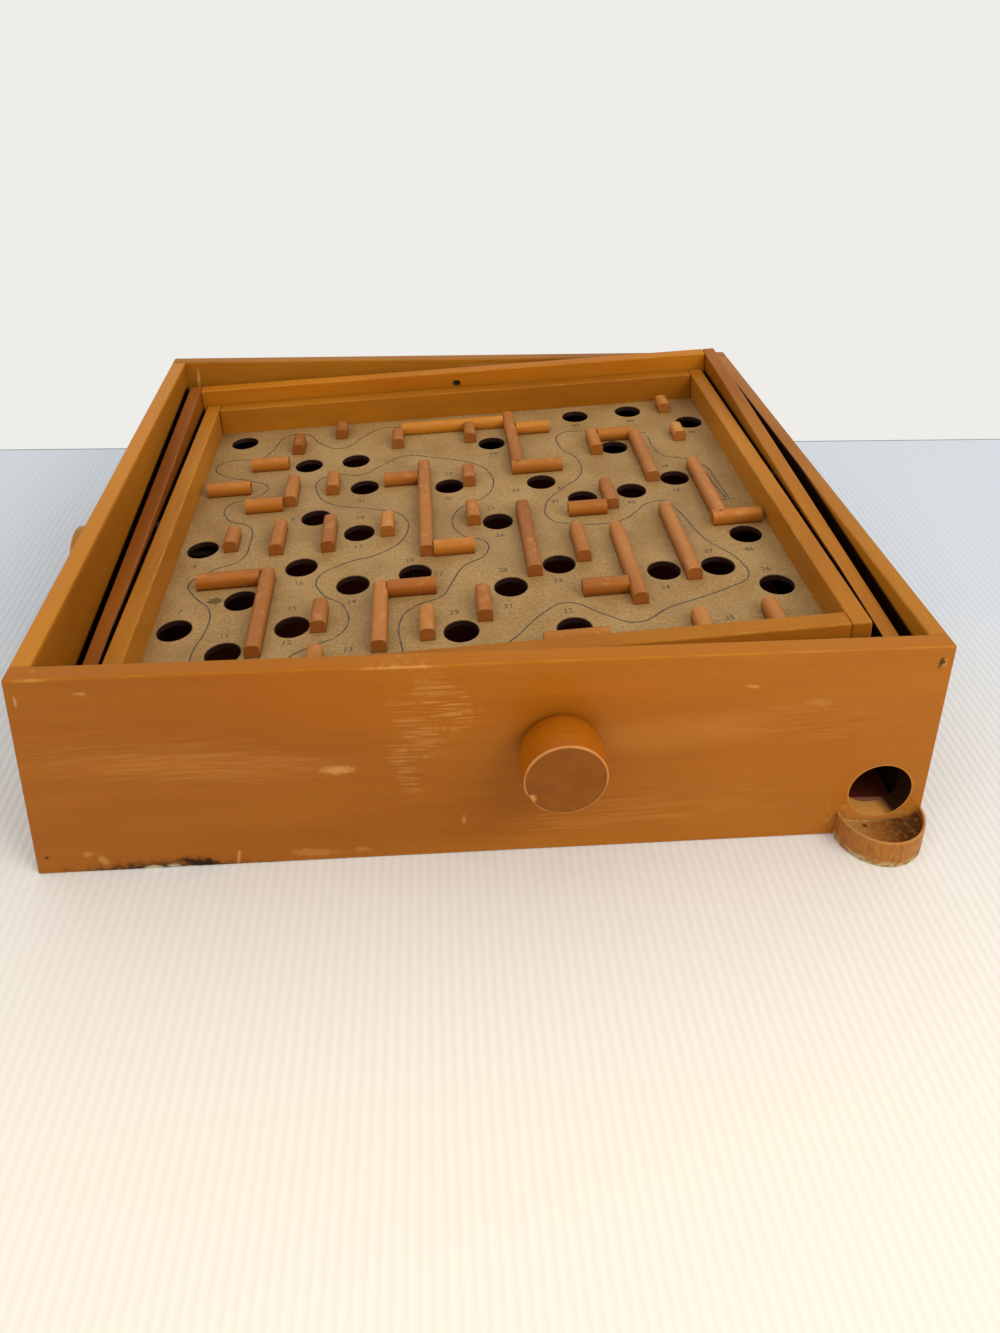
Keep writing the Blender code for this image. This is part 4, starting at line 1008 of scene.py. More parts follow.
# Print on the board: the route that the ball should take, in one thin dark line between the holes, and a
# number beside most holes. The print is old, and rubbed thin in places.
INK_ABOVE_BOARD = 0.03 * MM
ROUTE_WIDTH = 0.75 * MM
ROUTE_STEP = 0.8 * MM
NUMBER_HEIGHT = 3.2 * MM
FIGURE_SHARE = 0.7
INK_SPREAD = 0.03 * MM
ROUTE_SHARES = (
    ((5.35, -0.1), (5.65, -0.1)),
    ((5.45, -0.05), (5.37, 0.65), (5.3, 1.3)),
    ((5.52, -0.1), (5.47, 0.7), (5.4, 1.4), (5.25, 1.62), (5.0, 1.85), (4.6, 2.05), (4.45, 2.55),
     (4.45, 3.05)),
    ((4.45, 3.25), (3.8, 3.45), (3.05, 3.6), (2.4, 3.55), (2.3, 2.85), (2.6, 2.25), (2.55, 1.45),
     (2.1, 0.95), (1.65, 0.35), (1.65, -0.3), (2.1, -0.55), (3.15, -0.55), (3.45, -0.3), (3.75, 0.0),
     (4.15, 0.05), (4.3, -0.25), (4.6, -1.5), (5.05, -2.35), (5.05, -2.9), (4.65, -3.15), (4.0, -3.4),
     (3.4, -3.6), (2.7, -3.95), (2.2, -3.65), (1.55, -3.2), (1.1, -3.45), (0.85, -3.7), (0.5, -4.1),
     (-0.1, -4.5), (-0.9, -4.65), (-1.35, -4.45), (-1.45, -4.1), (-1.45, -3.2), (-1.2, -2.9), (-0.7, -2.65),
     (-0.5, -2.25), (-0.25, -1.75), (0.2, -1.4), (0.25, -0.95), (-0.2, -0.65), (-0.4, -0.1), (-0.2, 0.45),
     (0.25, 0.75), (0.55, 1.2), (0.5, 2.0), (0.2, 2.4), (-0.7, 2.85), (-1.4, 3.05), (-1.95, 2.65),
     (-2.4, 2.3), (-3.0, 2.4), (-3.35, 2.2), (-3.35, 1.6), (-3.05, 1.1), (-2.05, 0.7), (-1.45, 0.35),
     (-1.4, -0.5), (-1.9, -1.05), (-2.6, -1.3), (-3.1, -1.75), (-2.95, -2.3), (-2.55, -2.7), (-2.5, -3.45),
     (-3.1, -3.85), (-3.4, -4.05), (-3.6, -4.55), (-4.4, -4.75), (-5.0, -4.4), (-5.15, -3.85), (-5.0, -2.95),
     (-5.05, -2.5), (-5.45, -1.95), (-5.6, -1.55), (-5.2, -1.15), (-4.7, -0.85), (-4.6, -0.3), (-4.7, 0.4),
     (-5.2, 0.75), (-5.3, 1.35), (-4.65, 1.7), (-4.5, 2.05), (-4.9, 2.4), (-5.65, 2.8), (-5.85, 3.25),
     (-5.5, 3.5), (-4.85, 3.5), (-4.6, 3.9), (-4.35, 4.55), (-3.9, 4.65), (-3.45, 4.05), (-2.95, 3.7),
     (-2.4, 4.25), (-1.95, 4.65), (-1.5, 4.6)),
)
NUMBER_SHARES = (
    (7, -5.6, -2.45), (8, -5.6, -0.95), (9, -3.8, 0.55), (11, -4.65, -3.3), (12, -3.5, -3.65),
    (13, -2.4, -4.0), (14, -2.4, -2.6), (15, -3.5, -2.65), (16, -3.45, -1.85), (17, -2.35, -0.75),
    (18, -2.35, 0.4), (19, -1.3, -1.4), (20, -0.45, 0.9), (21, -2.35, 1.1), (22, -0.4, 2.0), (23, 1.05, 1.0),
    (24, 0.7, 2.8), (25, 0.45, 0.35), (26, 0.55, -0.75), (27, -0.75, -1.95), (28, 0.5, -2.0),
    (29, -0.5, -3.2), (30, -0.45, -4.3), (31, 0.5, -3.15), (32, 1.55, -3.45), (33, 1.5, -2.5),
    (34, 3.45, -3.0), (35, 4.35, -4.05), (36, 5.45, -2.7), (37, 4.55, -1.95), (38, 4.5, 1.55),
    (39, 4.5, 0.45), (40, 3.45, 0.1), (41, 1.85, 0.4), (42, 2.05, 0.95), (43, 2.85, 3.95), (44, 4.2, 3.95),
    (45, 5.55, 3.1), (46, 5.35, -2.0),
)

# Screen ink: flat dark grey-brown, dull, with the brown board showing where it is rubbed
printed_ink, tree, shader = new_material("worn screen ink")
place = place_in(tree, board_frame, seen_point(tree))
rub = noise_at(tree, place, 3.5 * MM, 3.0)
rubbed = mapped(tree, rub, (0.45, 0.72), (0.0, 0.55))
ink = mixed(tree, rubbed, "3E3428", "8A6F4E")
set_inputs(shader, Base_Color=ink, Roughness=0.6)


def route_tree(material):
    """A flat ribbon of ink along each line of the curve."""
    tree, given, result = geometry_group("printed route", Line_Width="Float", Step="Float")
    even = add_node(tree, "GeometryNodeResampleCurve", {0: given["Geometry"], "Length": given["Step"]},
                    mode="LENGTH")
    level = add_node(tree, "GeometryNodeSetCurveNormal", {0: even}, mode="Z_UP")
    half = maths(tree, "MULTIPLY", given["Line Width"], 0.5)
    back = maths(tree, "MULTIPLY", given["Line Width"], -0.5)
    start = add_node(tree, "ShaderNodeCombineXYZ", {0: half})
    stop = add_node(tree, "ShaderNodeCombineXYZ", {0: back})
    stroke = add_node(tree, "GeometryNodeCurvePrimitiveLine", {"Start": start, "End": stop})
    ribbon = add_node(tree, "GeometryNodeCurveToMesh", {0: level, "Profile Curve": stroke})
    return closed_tree(tree, result, ribbon, material)


route_curve = bpy.data.curves.new("route_line", "CURVE")
route_curve.dimensions = "3D"
for shares in ROUTE_SHARES:
    line = route_curve.splines.new("BEZIER")
    line.bezier_points.add(len(shares) - 1)
    for point, (column, row) in zip(line.bezier_points, shares):
        point.co = on_board(column, row, INK_ABOVE_BOARD)
        point.handle_left_type = "AUTO"
        point.handle_right_type = "AUTO"
route = grown(in_scene("route_line", route_curve), route_tree(printed_ink), "printed_route",
              {"Line Width": ROUTE_WIDTH, "Step": ROUTE_STEP}, board_frame)
dress(route, "board", None, "hardboard")


def number_mesh(value, column, row):
    """One printed number as a flat mesh, centred on its place on the board."""
    words = bpy.data.curves.new("number", "FONT")
    words.body = str(value)
    words.align_x = "CENTER"
    words.align_y = "CENTER"
    words.size = NUMBER_HEIGHT / FIGURE_SHARE
    words.offset = INK_SPREAD
    words.resolution_u = 3
    return finished_mesh([in_scene("number", words)], "number",
                         Matrix.Translation(on_board(column, row, INK_ABOVE_BOARD)))


bm = bmesh.new()
for value, column, row in NUMBER_SHARES:
    number = number_mesh(value, column, row)
    bm.from_mesh(number.data)
    bpy.data.objects.remove(number, do_unlink=True)
numbers = finished_mesh([raw_object(bm, "numbers")], "printed_numbers", board_frame)
dress(numbers, "board", printed_ink, "hardboard")


# Knobs: two plugs of beech turned on a lathe, stained and varnished, and pressed on their steel shafts.
# The face is flat, its rim is a fine edge rubbed down to the pale wood, and the side swells like a bun.
KNOB_FACE_RADIUS = 16.1 * MM
KNOB_WIDEST = 16.9 * MM
KNOB_WIDEST_HEIGHT = 9.5 * MM
KNOB_BACK_RADIUS = 13.2 * MM
KNOB_LENGTH = 19.7 * MM
KNOB_RIM_ROUND = 0.8 * MM
KNOB_BORE_DEPTH = 4 * MM
KNOB_STEPS = 128
FACE_RINGS = 6
SWELL_RINGS = 8
TURNED_SHARP_DEG = 35
# The side knob's colours are painted paler, as painted light for the highlight on its left
KNOB_COLOURS = {"front": ("B0640E", "A0560A", "8A4506"), "side": ("BA8434", "AC762A", "946020")}
KNOB_CHIP_DEG = 212
KNOB_CHIP_HALF_DEG = 8
KNOB_CHIP_DEPTH = 0.5 * MM


def arc(centre_radius, centre_height, radius, from_deg, to_deg, steps=6):
    """Points of a quarter round in a turned profile."""
    return [(centre_radius + radius * math.cos(math.radians(from_deg + (to_deg - from_deg) * step / steps)),
             centre_height + radius * math.sin(math.radians(from_deg + (to_deg - from_deg) * step / steps)))
            for step in range(steps + 1)]


def lathed(profile, steps, name):
    """A profile of (radius, height) pairs spun about Z, with its doubles merged and its faces outwards."""
    bm = bmesh.new()
    spots = [bm.verts.new((radius, 0.0, height)) for radius, height in profile]
    edges = [bm.edges.new(pair) for pair in zip(spots, spots[1:])]
    bmesh.ops.spin(bm, geom=spots + edges, cent=(0.0, 0.0, 0.0), axis=(0.0, 0.0, 1.0),
                   angle=math.tau, steps=steps)
    bmesh.ops.remove_doubles(bm, verts=bm.verts, dist=WELD_REACH)
    bmesh.ops.holes_fill(bm, edges=[edge for edge in bm.edges if edge.is_boundary], sides=0)
    bmesh.ops.recalc_face_normals(bm, faces=bm.faces)
    made = raw_object(bm, name)
    made.data.shade_smooth()
    made.data.set_sharp_from_angle(angle=math.radians(TURNED_SHARP_DEG))
    return made


knob_profile = [(ring / FACE_RINGS * (KNOB_FACE_RADIUS - KNOB_RIM_ROUND), KNOB_LENGTH)
                for ring in range(FACE_RINGS)]
knob_profile += arc(KNOB_FACE_RADIUS - KNOB_RIM_ROUND, KNOB_LENGTH - KNOB_RIM_ROUND, KNOB_RIM_ROUND, 90, 0)
swell_length = KNOB_LENGTH - KNOB_RIM_ROUND - KNOB_WIDEST_HEIGHT
knob_profile += [(KNOB_FACE_RADIUS
                  + (KNOB_WIDEST - KNOB_FACE_RADIUS) * math.sin(math.pi / 2 * ring / SWELL_RINGS),
                  KNOB_LENGTH - KNOB_RIM_ROUND - ring / SWELL_RINGS * swell_length)
                 for ring in range(1, SWELL_RINGS + 1)]
knob_profile += [(KNOB_BACK_RADIUS + (KNOB_WIDEST - KNOB_BACK_RADIUS) * math.cos(math.radians(angle)),
                  KNOB_WIDEST_HEIGHT * (1 - math.sin(math.radians(angle)))) for angle in range(9, 91, 9)]
knob_profile += [(SHAFT_BORE_RADIUS, 0.0), (SHAFT_BORE_RADIUS, KNOB_BORE_DEPTH)]


def knob_material(name, knob_frame, seed, chip_shows, colours):
    """Stained beech under worn varnish: the face is the redder, and the rim is rubbed bare and pale."""
    material, tree, shader = new_material(name)
    place = place_in(tree, knob_frame, seen_point(tree))
    across = vectors(tree, "MULTIPLY", place, (1.0, 1.0, 0.0))
    radius = vectors(tree, "LENGTH", across)
    height = component(tree, place, "Z")
    grain = wood(tree, place, seed, *colours)
    patch = noise_at(tree, place, 7 * MM, 4.0)
    face_tone = mixed(tree, patch, "8C5208", "6E3404")
    on_face = mapped(tree, height, (KNOB_LENGTH - 0.3 * MM, KNOB_LENGTH - 0.05 * MM))
    faced = mixed(tree, on_face, grain, face_tone)
    corner = maths(tree, "ADD", radius, height)
    corner_reach = KNOB_FACE_RADIUS + KNOB_LENGTH - KNOB_RIM_ROUND
    wobble = mapped(tree, patch, to=(-0.35 * MM, 0.35 * MM))
    edge = maths(tree, "ADD", corner, wobble)
    rubbed = mapped(tree, edge, (corner_reach - 0.05 * MM, corner_reach + 0.35 * MM), (0.0, 0.6))
    chip_place = (KNOB_FACE_RADIUS * 0.96 * math.cos(math.radians(KNOB_CHIP_DEG)),
                  KNOB_FACE_RADIUS * 0.96 * math.sin(math.radians(KNOB_CHIP_DEG)), KNOB_LENGTH)
    from_chip = vectors(tree, "DISTANCE", place, chip_place)
    chipped = mapped(tree, from_chip, (2.8 * MM, 1.2 * MM), (0.0, 0.55 * chip_shows))
    bare = maths(tree, "MAXIMUM", rubbed, chipped)
    worn = mixed(tree, bare, faced, "D6955A")
    shine = mapped(tree, on_face, to=(0.32, 0.5))
    set_inputs(shader, Base_Color=worn, Roughness=shine, Specular_IOR_Level=0.12, Coat_Weight=0.06,
               Coat_Roughness=0.15)
    return material


for seed, (name, joint, outward, gap) in enumerate((
        ("front", "front_knob_turn", "Y", case_low.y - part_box("front_knob")[1].y),
        ("side", "side_knob_turn", "X", case_low.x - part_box("side_knob")[1].x))):
    turn = Matrix.Rotation(math.pi / 2, 4, "X") if outward == "Y" else Matrix.Rotation(-math.pi / 2, 4, "Y")
    seat = Vector(joints[joint]["pos_m"])
    seat[0 if outward == "X" else 1] = (case_low.x if outward == "X" else case_low.y) - gap
    knob_frame = Matrix.Translation(seat) @ turn
    blank = lathed(knob_profile, KNOB_STEPS, name + "_knob_blank")
    for spot in blank.data.vertices:
        around = (math.degrees(math.atan2(spot.co.y, spot.co.x)) - KNOB_CHIP_DEG + 180) % 360 - 180
        reach = math.hypot(spot.co.x, spot.co.y) + spot.co.z - (KNOB_FACE_RADIUS + KNOB_LENGTH - 2.2 * MM)
        if outward == "Y" and abs(around) < KNOB_CHIP_HALF_DEG and reach > 0:
            bite = KNOB_CHIP_DEPTH * (1 - (around / KNOB_CHIP_HALF_DEG) ** 2) * min(1.0, reach / (1.0 * MM))
            inward = Vector((spot.co.x, spot.co.y, 0.0)).normalized() + Vector((0.0, 0.0, 0.8))
            spot.co -= inward * bite
    knob = finished_mesh([blank], name + "_turned_knob", knob_frame)
    finish = knob_material("turned beech " + name, knob_frame, seed * 9.0 + 31.0, 1.0 - seed,
                           KNOB_COLOURS[name])
    dress(knob, name + "_dial", finish, "turned_beech", name + "_knob")


# Shafts and pivots: the knobs turn plain steel rods, the front one short and held in a wooden bush behind
# its panel, the side one as long as the case is wide. The frames hang on four short steel pins.
# Drawn steel: grey and half bright, with fine lines along the rod and a little brown tarnish
drawn_steel, tree, shader = new_material("drawn steel")
place = seen_point(tree)
tarnish = noise_at(tree, place, 3 * MM, 3.0)
tarnished = mapped(tree, tarnish, (0.5, 0.75), (0.0, 0.6))
steel_colour = mixed(tree, tarnished, "47433F", "2C2018")
steel_shine = mapped(tree, tarnish, to=(0.4, 0.6))
set_inputs(shader, Base_Color=steel_colour, Metallic=0.75, Roughness=steel_shine)


def refinish(material, *nodes):
    """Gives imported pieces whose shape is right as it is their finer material."""
    for name in nodes:
        materials = frame["nodes"][name].data.materials
        materials.clear()
        materials.append(material)


# The long side shaft runs just below the holes, and its steel is painted nearly black as painted shade, so
# it stays dark where it shows through a hole
shaded_dark_steel, tree, shader = new_material("steel painted dark")
place = seen_point(tree)
mottle = noise_at(tree, place, 2 * MM, 3.0)
shaded_dark_colour = mixed(tree, mottle, "1C1613", "2A1E16")
set_inputs(shader, Base_Color=shaded_dark_colour, Metallic=0.2, Roughness=0.75, Specular_IOR_Level=0.2)

refinish(drawn_steel, "front_shaft", "left_tilt_pin", "right_tilt_pin", "front_pivot_pin", "back_pivot_pin")
refinish(shaded_dark_steel, "side_shaft")
refinish(bpy.data.materials["turned beech front"], "front_shaft_bearing")


# Cords and springs: each knob winds a thin laid cord, about five turns wide and two layers deep on its
# shaft. One end is tied to one side of the frame, and the other, over a steel spring, to the far side.
CORD_RADIUS = 0.5 * MM
CORD_STRANDS = 3
CORD_LAY = 3.2 * MM
TURNS_LAYER = 0.65 * MM
TURNS_PITCH = 1.05 * MM
SPRING_RADIUS = 2 * MM
SPRING_LENGTH = 18 * MM
SPRING_WIRE = 0.28 * MM
SPRING_PITCH = 0.62 * MM
SPRING_LOOP = 1.5 * MM
HELIX_STEPS = 18
CORD_STEP = 0.5 * MM
WIRE_STEP = 0.4 * MM
STRAND_SHARE = 0.52
HITCH_GAP = 0.6 * MM
HITCH_LENGTH = 2.4 * MM
HITCH_TURNS = 2.3
STAPLE_HALF_WIDTH = 1.1 * MM
STAPLE_LEG = 3 * MM
STAPLE_WIRE = 0.35 * MM
TIE_GAP = 0.2 * MM
FRONT_TIE_INSET_LEFT = 48.7 * MM
FRONT_TIE_INSET_RIGHT = 38.7 * MM
FRONT_CORD_LINE_INSET = 3.6 * MM
SIDE_TIE_INSET = 2.8 * MM


def line_tree(name, material, strands=1):
    """Round strands twisted about the line of the mesh, or one plain round wire along it."""
    tree, given, result = geometry_group(name, Strand_Radius="Float", Step="Float")
    line = add_node(tree, "GeometryNodeMeshToCurve", {0: given["Geometry"]})
    even = add_node(tree, "GeometryNodeResampleCurve", {0: line, "Length": given["Step"]}, mode="LENGTH")
    reach = add_node(tree, "GeometryNodeSplineParameter").outputs["Length"]
    share = maths(tree, "DIVIDE", reach, CORD_LAY)
    tilt = maths(tree, "MULTIPLY", share, math.tau)
    twisted = add_node(tree, "GeometryNodeSetCurveTilt", {0: even, "Tilt": tilt})
    strand = add_node(tree, "GeometryNodeCurvePrimitiveCircle",
                      {"Resolution": 8, "Radius": given["Strand Radius"]})
    section = strand
    if strands > 1:
        places = add_node(tree, "GeometryNodeMeshCircle",
                          {"Vertices": strands, "Radius": CORD_RADIUS * (1 - STRAND_SHARE)})
        bundle = add_node(tree, "GeometryNodeInstanceOnPoints", {"Points": places, "Instance": strand})
        section = add_node(tree, "GeometryNodeRealizeInstances", {0: bundle})
    swept = add_node(tree, "GeometryNodeCurveToMesh",
                     {0: twisted, "Profile Curve": section, "Fill Caps": True})
    smooth = add_node(tree, "GeometryNodeSetShadeSmooth", {0: swept})
    return closed_tree(tree, result, smooth, material)


def swept_line(points, tree, name, strand_radius, step):
    """A cord or wire along a chain of points."""
    pairs = [(number, number + 1) for number in range(len(points) - 1)]
    return grown(points_object(points, name + "_line", pairs), tree, name,
                 {"Strand Radius": strand_radius, "Step": step})


def square_to(direction):
    """Two directions square to a given one, the first as level as can be."""
    level = direction.cross(Vector((0.0, 0.0, 1.0)))
    first = level.normalized() if level.length > 0.01 else Vector((1.0, 0.0, 0.0))
    return first, direction.cross(first).normalized()


def helix(start, axis, radius, length, turns, from_deg=0.0):
    """Points of a coil about an axis."""
    first, second = square_to(axis)
    steps = max(2, round(abs(turns) * HELIX_STEPS))
    return [start + axis * (length * step / steps)
            + first * radius * math.cos(math.radians(from_deg) + math.tau * turns * step / steps)
            + second * radius * math.sin(math.radians(from_deg) + math.tau * turns * step / steps)
            for step in range(steps + 1)]


def spring_line(start, stop):
    """The wire of a close-wound spring with a loop at both ends."""
    axis = (stop - start).normalized()
    first = square_to(axis)[0]
    coil_radius = SPRING_RADIUS - SPRING_WIRE
    loops = []
    for end, inward in ((start, axis), (stop, -axis)):
        middle = end + inward * SPRING_LOOP
        angles = [math.radians(angle) for angle in range(-160, 91, 25)]
        loops.append([middle + inward * SPRING_LOOP * math.cos(angle) + first * SPRING_LOOP * math.sin(angle)
                      for angle in angles])
    coil_start = start + axis * 2 * SPRING_LOOP
    coil_length = (stop - start).length - 4 * SPRING_LOOP
    turns = round(coil_length / SPRING_PITCH)
    return loops[0] + helix(coil_start, axis, coil_radius, coil_length, turns) + loops[1][::-1]


def tied_cord(start, stop):
    """A straight run of cord with two small turns back round itself where it is tied."""
    back = (start - stop).normalized()
    return [start, stop + back * 0.2 * MM] + helix(stop + back * HITCH_GAP, back, 2 * CORD_RADIUS,
                                                   HITCH_LENGTH, HITCH_TURNS)


def staple_line(place, across):
    """A wire staple over a cord or a spring's loop, its legs up in the rail."""
    up = Vector((0.0, 0.0, 1.0))
    bow = [place + across * STAPLE_HALF_WIDTH * math.cos(math.radians(angle))
           + up * STAPLE_HALF_WIDTH * math.sin(math.radians(angle)) for angle in range(180, 361, 20)]
    return [bow[0] + up * STAPLE_LEG, *bow, bow[-1] + up * STAPLE_LEG]


# Waxed cotton cord: off-white gone grey-brown with dust, dull
waxed_cotton, tree, shader = new_material("waxed cotton cord")
place = seen_point(tree)
mottle = noise_at(tree, place, 2 * MM)
cotton = mixed(tree, mottle, "8E8168", "6A5C46")
set_inputs(shader, Base_Color=cotton, Roughness=0.85)

cord_tree = line_tree("laid cord", waxed_cotton, CORD_STRANDS)
wire_tree = line_tree("plain wire", drawn_steel)
strand_radius = CORD_RADIUS * STRAND_SHARE


def drive_cords(name, bodies, turns_axis, cord_nodes, ties, across):
    """The turns on a shaft, the two cords that leave them, the spring and the staples of one knob's drive.
    Each cord is made in a piece of its own for each pair of bodies, from one body to the next."""
    low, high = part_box(name + "_cord_turns")
    middle = (low + high) / 2
    outer = (high - low)[2] / 2 - CORD_RADIUS
    length = abs((high - low).dot(turns_axis)) - 2 * CORD_RADIUS
    begin = middle - turns_axis * length / 2
    turns = length / TURNS_PITCH
    layers = helix(begin, turns_axis, outer - TURNS_LAYER, length, turns)
    layers += helix(begin + turns_axis * length, -turns_axis, outer, length, turns, 180.0)
    wound = swept_line(layers, cord_tree, name + "_wound_cord", strand_radius, CORD_STEP)
    dress(wound, name + "_dial", None, "cord", name + "_cord_turns")
    for node, tie in zip(cord_nodes, ties):
        cord_low, cord_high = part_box(node)
        start = Vector(((cord_low.x + cord_high.x) / 2, (cord_low.y + cord_high.y) / 2, 0.0))
        along = turns_axis.cross(Vector((0.0, 0.0, 1.0)))
        start += along * (middle - start).dot(along)
        leaves_below = name == "front"
        start.z = (low.z - CORD_RADIUS) if leaves_below else (high.z + CORD_RADIUS)
        run = (tie - start).normalized()
        stop = tie if node == cord_nodes[0] else tie - run * SPRING_LENGTH
        pieces = len(bodies) - 1
        lays = int((stop - start).length / pieces / CORD_LAY)
        joins = [start + run * lays * CORD_LAY * step for step in range(pieces)] + [stop]
        for step, (from_body, to_body) in enumerate(zip(bodies, bodies[1:])):
            near, far = joins[step], joins[step + 1]
            line = tied_cord(near, far) if to_body == bodies[-1] else [near, far]
            cord = swept_line(line, cord_tree, f"{node.replace('cord', 'laid_cord')}_{step + 1}",
                              strand_radius, CORD_STEP)
            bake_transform(cord)
            if to_body == bodies[-1]:
                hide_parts(node)
        if stop is not tie:
            spring = swept_line(spring_line(stop, tie), wire_tree, name + "_coil_spring", SPRING_WIRE,
                                WIRE_STEP)
            dress(spring, bodies[-1], None, "steel", name + "_spring")
        staple = swept_line(staple_line(tie - run * 1.2 * MM + Vector((0.0, 0.0, 0.1 * MM)), across),
                            wire_tree, node.replace("cord", "staple"), STAPLE_WIRE, WIRE_STEP)
        dress(staple, bodies[-1], None, "steel")


def under_rail(piece_frame, across, back, below, hang):
    """A point that hangs straight down from the underside of a rail."""
    return piece_frame @ Vector((across, back, -below)) - Vector((0.0, 0.0, hang))


spring_hang = SPRING_RADIUS + TIE_GAP
cord_hang = CORD_RADIUS + TIE_GAP
front_line = FRONT_CORD_LINE_INSET - ring_half.y
# Where the cords and springs are stapled, a little under the rails
front_ties = [under_rail(ring_frame, FRONT_TIE_INSET_LEFT - ring_half.x, front_line, RING_BELOW_AXIS,
                         cord_hang),
              under_rail(ring_frame, ring_half.x - FRONT_TIE_INSET_RIGHT, front_line, RING_BELOW_AXIS,
                         spring_hang)]
side_low, side_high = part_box("side_cord_turns")
side_turns_x = in_frame(board_frame, (side_low + side_high) / 2).x
side_row = inner_half.y - SIDE_TIE_INSET
side_ties = [under_rail(board_frame, side_turns_x, -side_row, INNER_BELOW_AXIS, cord_hang),
             under_rail(board_frame, side_turns_x, side_row, INNER_BELOW_AXIS, spring_hang)]
drive_cords("front", ("case", "ring"), Vector((0.0, 1.0, 0.0)),
            ("front_cord_left", "front_cord_right"), front_ties, Vector((0.0, 1.0, 0.0)))
drive_cords("side", ("case", "ring", "board"), Vector((1.0, 0.0, 0.0)),
            ("side_cord_front", "side_cord_back"), side_ties, Vector((1.0, 0.0, 0.0)))


# Return floor: a thin board that slopes to the outlet, on two ledges glued to the side panels. It was never
# varnished, and it is drawn a dark red-brown, with a paler line along its front edge as a painted highlight.
return_wood, tree, shader = new_material("bare dark softwood")
place = seen_point(tree)
grain = wood(tree, place, 91.0, "5E220F", "4A190B", "341007")
back = component(tree, place, "Y")
front_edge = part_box("return_floor")[0].y
# A paler line along the floor's front edge is a painted highlight
at_edge = mapped(tree, back, (front_edge + 1.4 * MM, front_edge + 0.8 * MM), (0.0, 0.7))
edged = mixed(tree, at_edge, grain, "9A6250")
set_inputs(shader, Base_Color=edged, Roughness=0.8, Specular_IOR_Level=0.1)
refinish(return_wood, "return_floor", "left_floor_ledge", "right_floor_ledge")


# Ball cup: a half round block of beech, hollowed with a wide bit and glued under the outlet. Its rim is
# rubbed pale, and its pocket is drawn darker in mottled patches towards its right and paler tan on its left.
CUP_RADIUS = 18.3 * MM
CUP_RIM = 1.1 * MM
CUP_HEIGHT = 12.7 * MM
CUP_FLOOR = 7.1 * MM
CUP_EDGE = 0.4 * MM
CUP_KNOT_PLACE = Vector((-6.7, -3.0, 0.0)) * MM
CUP_STEPS = 64

cup_low, cup_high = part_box("ball_cup")
cup_place = Vector(((cup_low.x + cup_high.x) / 2, cup_high.y, 0.0))
pocket_radius = CUP_RADIUS - CUP_RIM
pocket_depth = CUP_HEIGHT - CUP_FLOOR
cup_profile = [(0.0, 0.0)]
cup_profile += arc(CUP_RADIUS - 2 * CUP_EDGE, 2 * CUP_EDGE, 2 * CUP_EDGE, -90, 0)
cup_profile += arc(CUP_RADIUS - CUP_EDGE, CUP_HEIGHT - CUP_EDGE, CUP_EDGE, 0, 90)
cup_profile += arc(pocket_radius + CUP_EDGE, CUP_HEIGHT - CUP_EDGE, CUP_EDGE, 90, 180)
cup_profile += [(pocket_radius * math.sin(math.radians(angle)) ** 0.7,
                 CUP_HEIGHT - CUP_EDGE - (pocket_depth - CUP_EDGE) * math.cos(math.radians(angle)) ** 0.8)
                for angle in range(80, 9, -10)] + [(0.0, CUP_FLOOR)]

bm = bmesh.new()
spots = [bm.verts.new((-radius, 0.0, height)) for radius, height in cup_profile]
section = bm.faces.new(spots)
bmesh.ops.spin(bm, geom=[section] + spots + section.edges[:], cent=(0.0, 0.0, 0.0), axis=(0.0, 0.0, 1.0),
               angle=math.pi, steps=CUP_STEPS, use_duplicate=False)
bmesh.ops.remove_doubles(bm, verts=bm.verts, dist=WELD_REACH)
inner_faces = [face for face in bm.faces
               if all(math.hypot(spot.co.x, spot.co.y) < WELD_REACH for spot in face.verts)]
bmesh.ops.delete(bm, geom=inner_faces, context="FACES")
bmesh.ops.recalc_face_normals(bm, faces=bm.faces)
cup_blank = raw_object(bm, "cup_blank")
cup_blank.data.shade_smooth()
cup_blank.data.set_sharp_from_angle(angle=math.radians(TURNED_SHARP_DEG))
cup = finished_mesh([cup_blank], "hollowed_cup", Matrix.Translation(cup_place))

cup_wood, tree, shader = new_material("varnished beech cup")
place = place_in(tree, Matrix.Translation(cup_place), seen_point(tree))
grain = wood(tree, place, 77.0, "B0722E", "9A5C20", "864C1A")
across = vectors(tree, "MULTIPLY", place, (1.0, 1.0, 0.0))
radius = vectors(tree, "LENGTH", across)
height = component(tree, place, "Z")
patch = noise_at(tree, place, 2.5 * MM, 5.0)
in_pocket = mapped(tree, radius, (pocket_radius + 0.2 * MM, pocket_radius - 0.6 * MM))
sideways = component(tree, place, "X")
# The pocket is drawn darker in mottled patches towards its right, and paler tan on its left
deep_down = mapped(tree, sideways, (-6 * MM, 7 * MM))
above_floor = mapped(tree, height, (CUP_FLOOR - 0.6 * MM, CUP_FLOOR - 0.2 * MM))
pocket_dark = maths(tree, "MULTIPLY", in_pocket, deep_down)
pocket_dark = maths(tree, "MULTIPLY", pocket_dark, above_floor)
mottled = mapped(tree, patch, (0.25, 0.5), (0.0, 0.95))
pocket_dark = maths(tree, "MULTIPLY", pocket_dark, mottled)
cup_back = component(tree, place, "Y")
paler_left = mapped(tree, sideways, (-3 * MM, -13 * MM), (0.0, 0.45))
glue_line = mapped(tree, cup_back, (-1.1 * MM, -0.5 * MM), (0.0, 0.7))
tan = maths(tree, "MAXIMUM", paler_left, glue_line)
tan = maths(tree, "MULTIPLY", tan, in_pocket)
paled = mixed(tree, tan, grain, "C4A064")
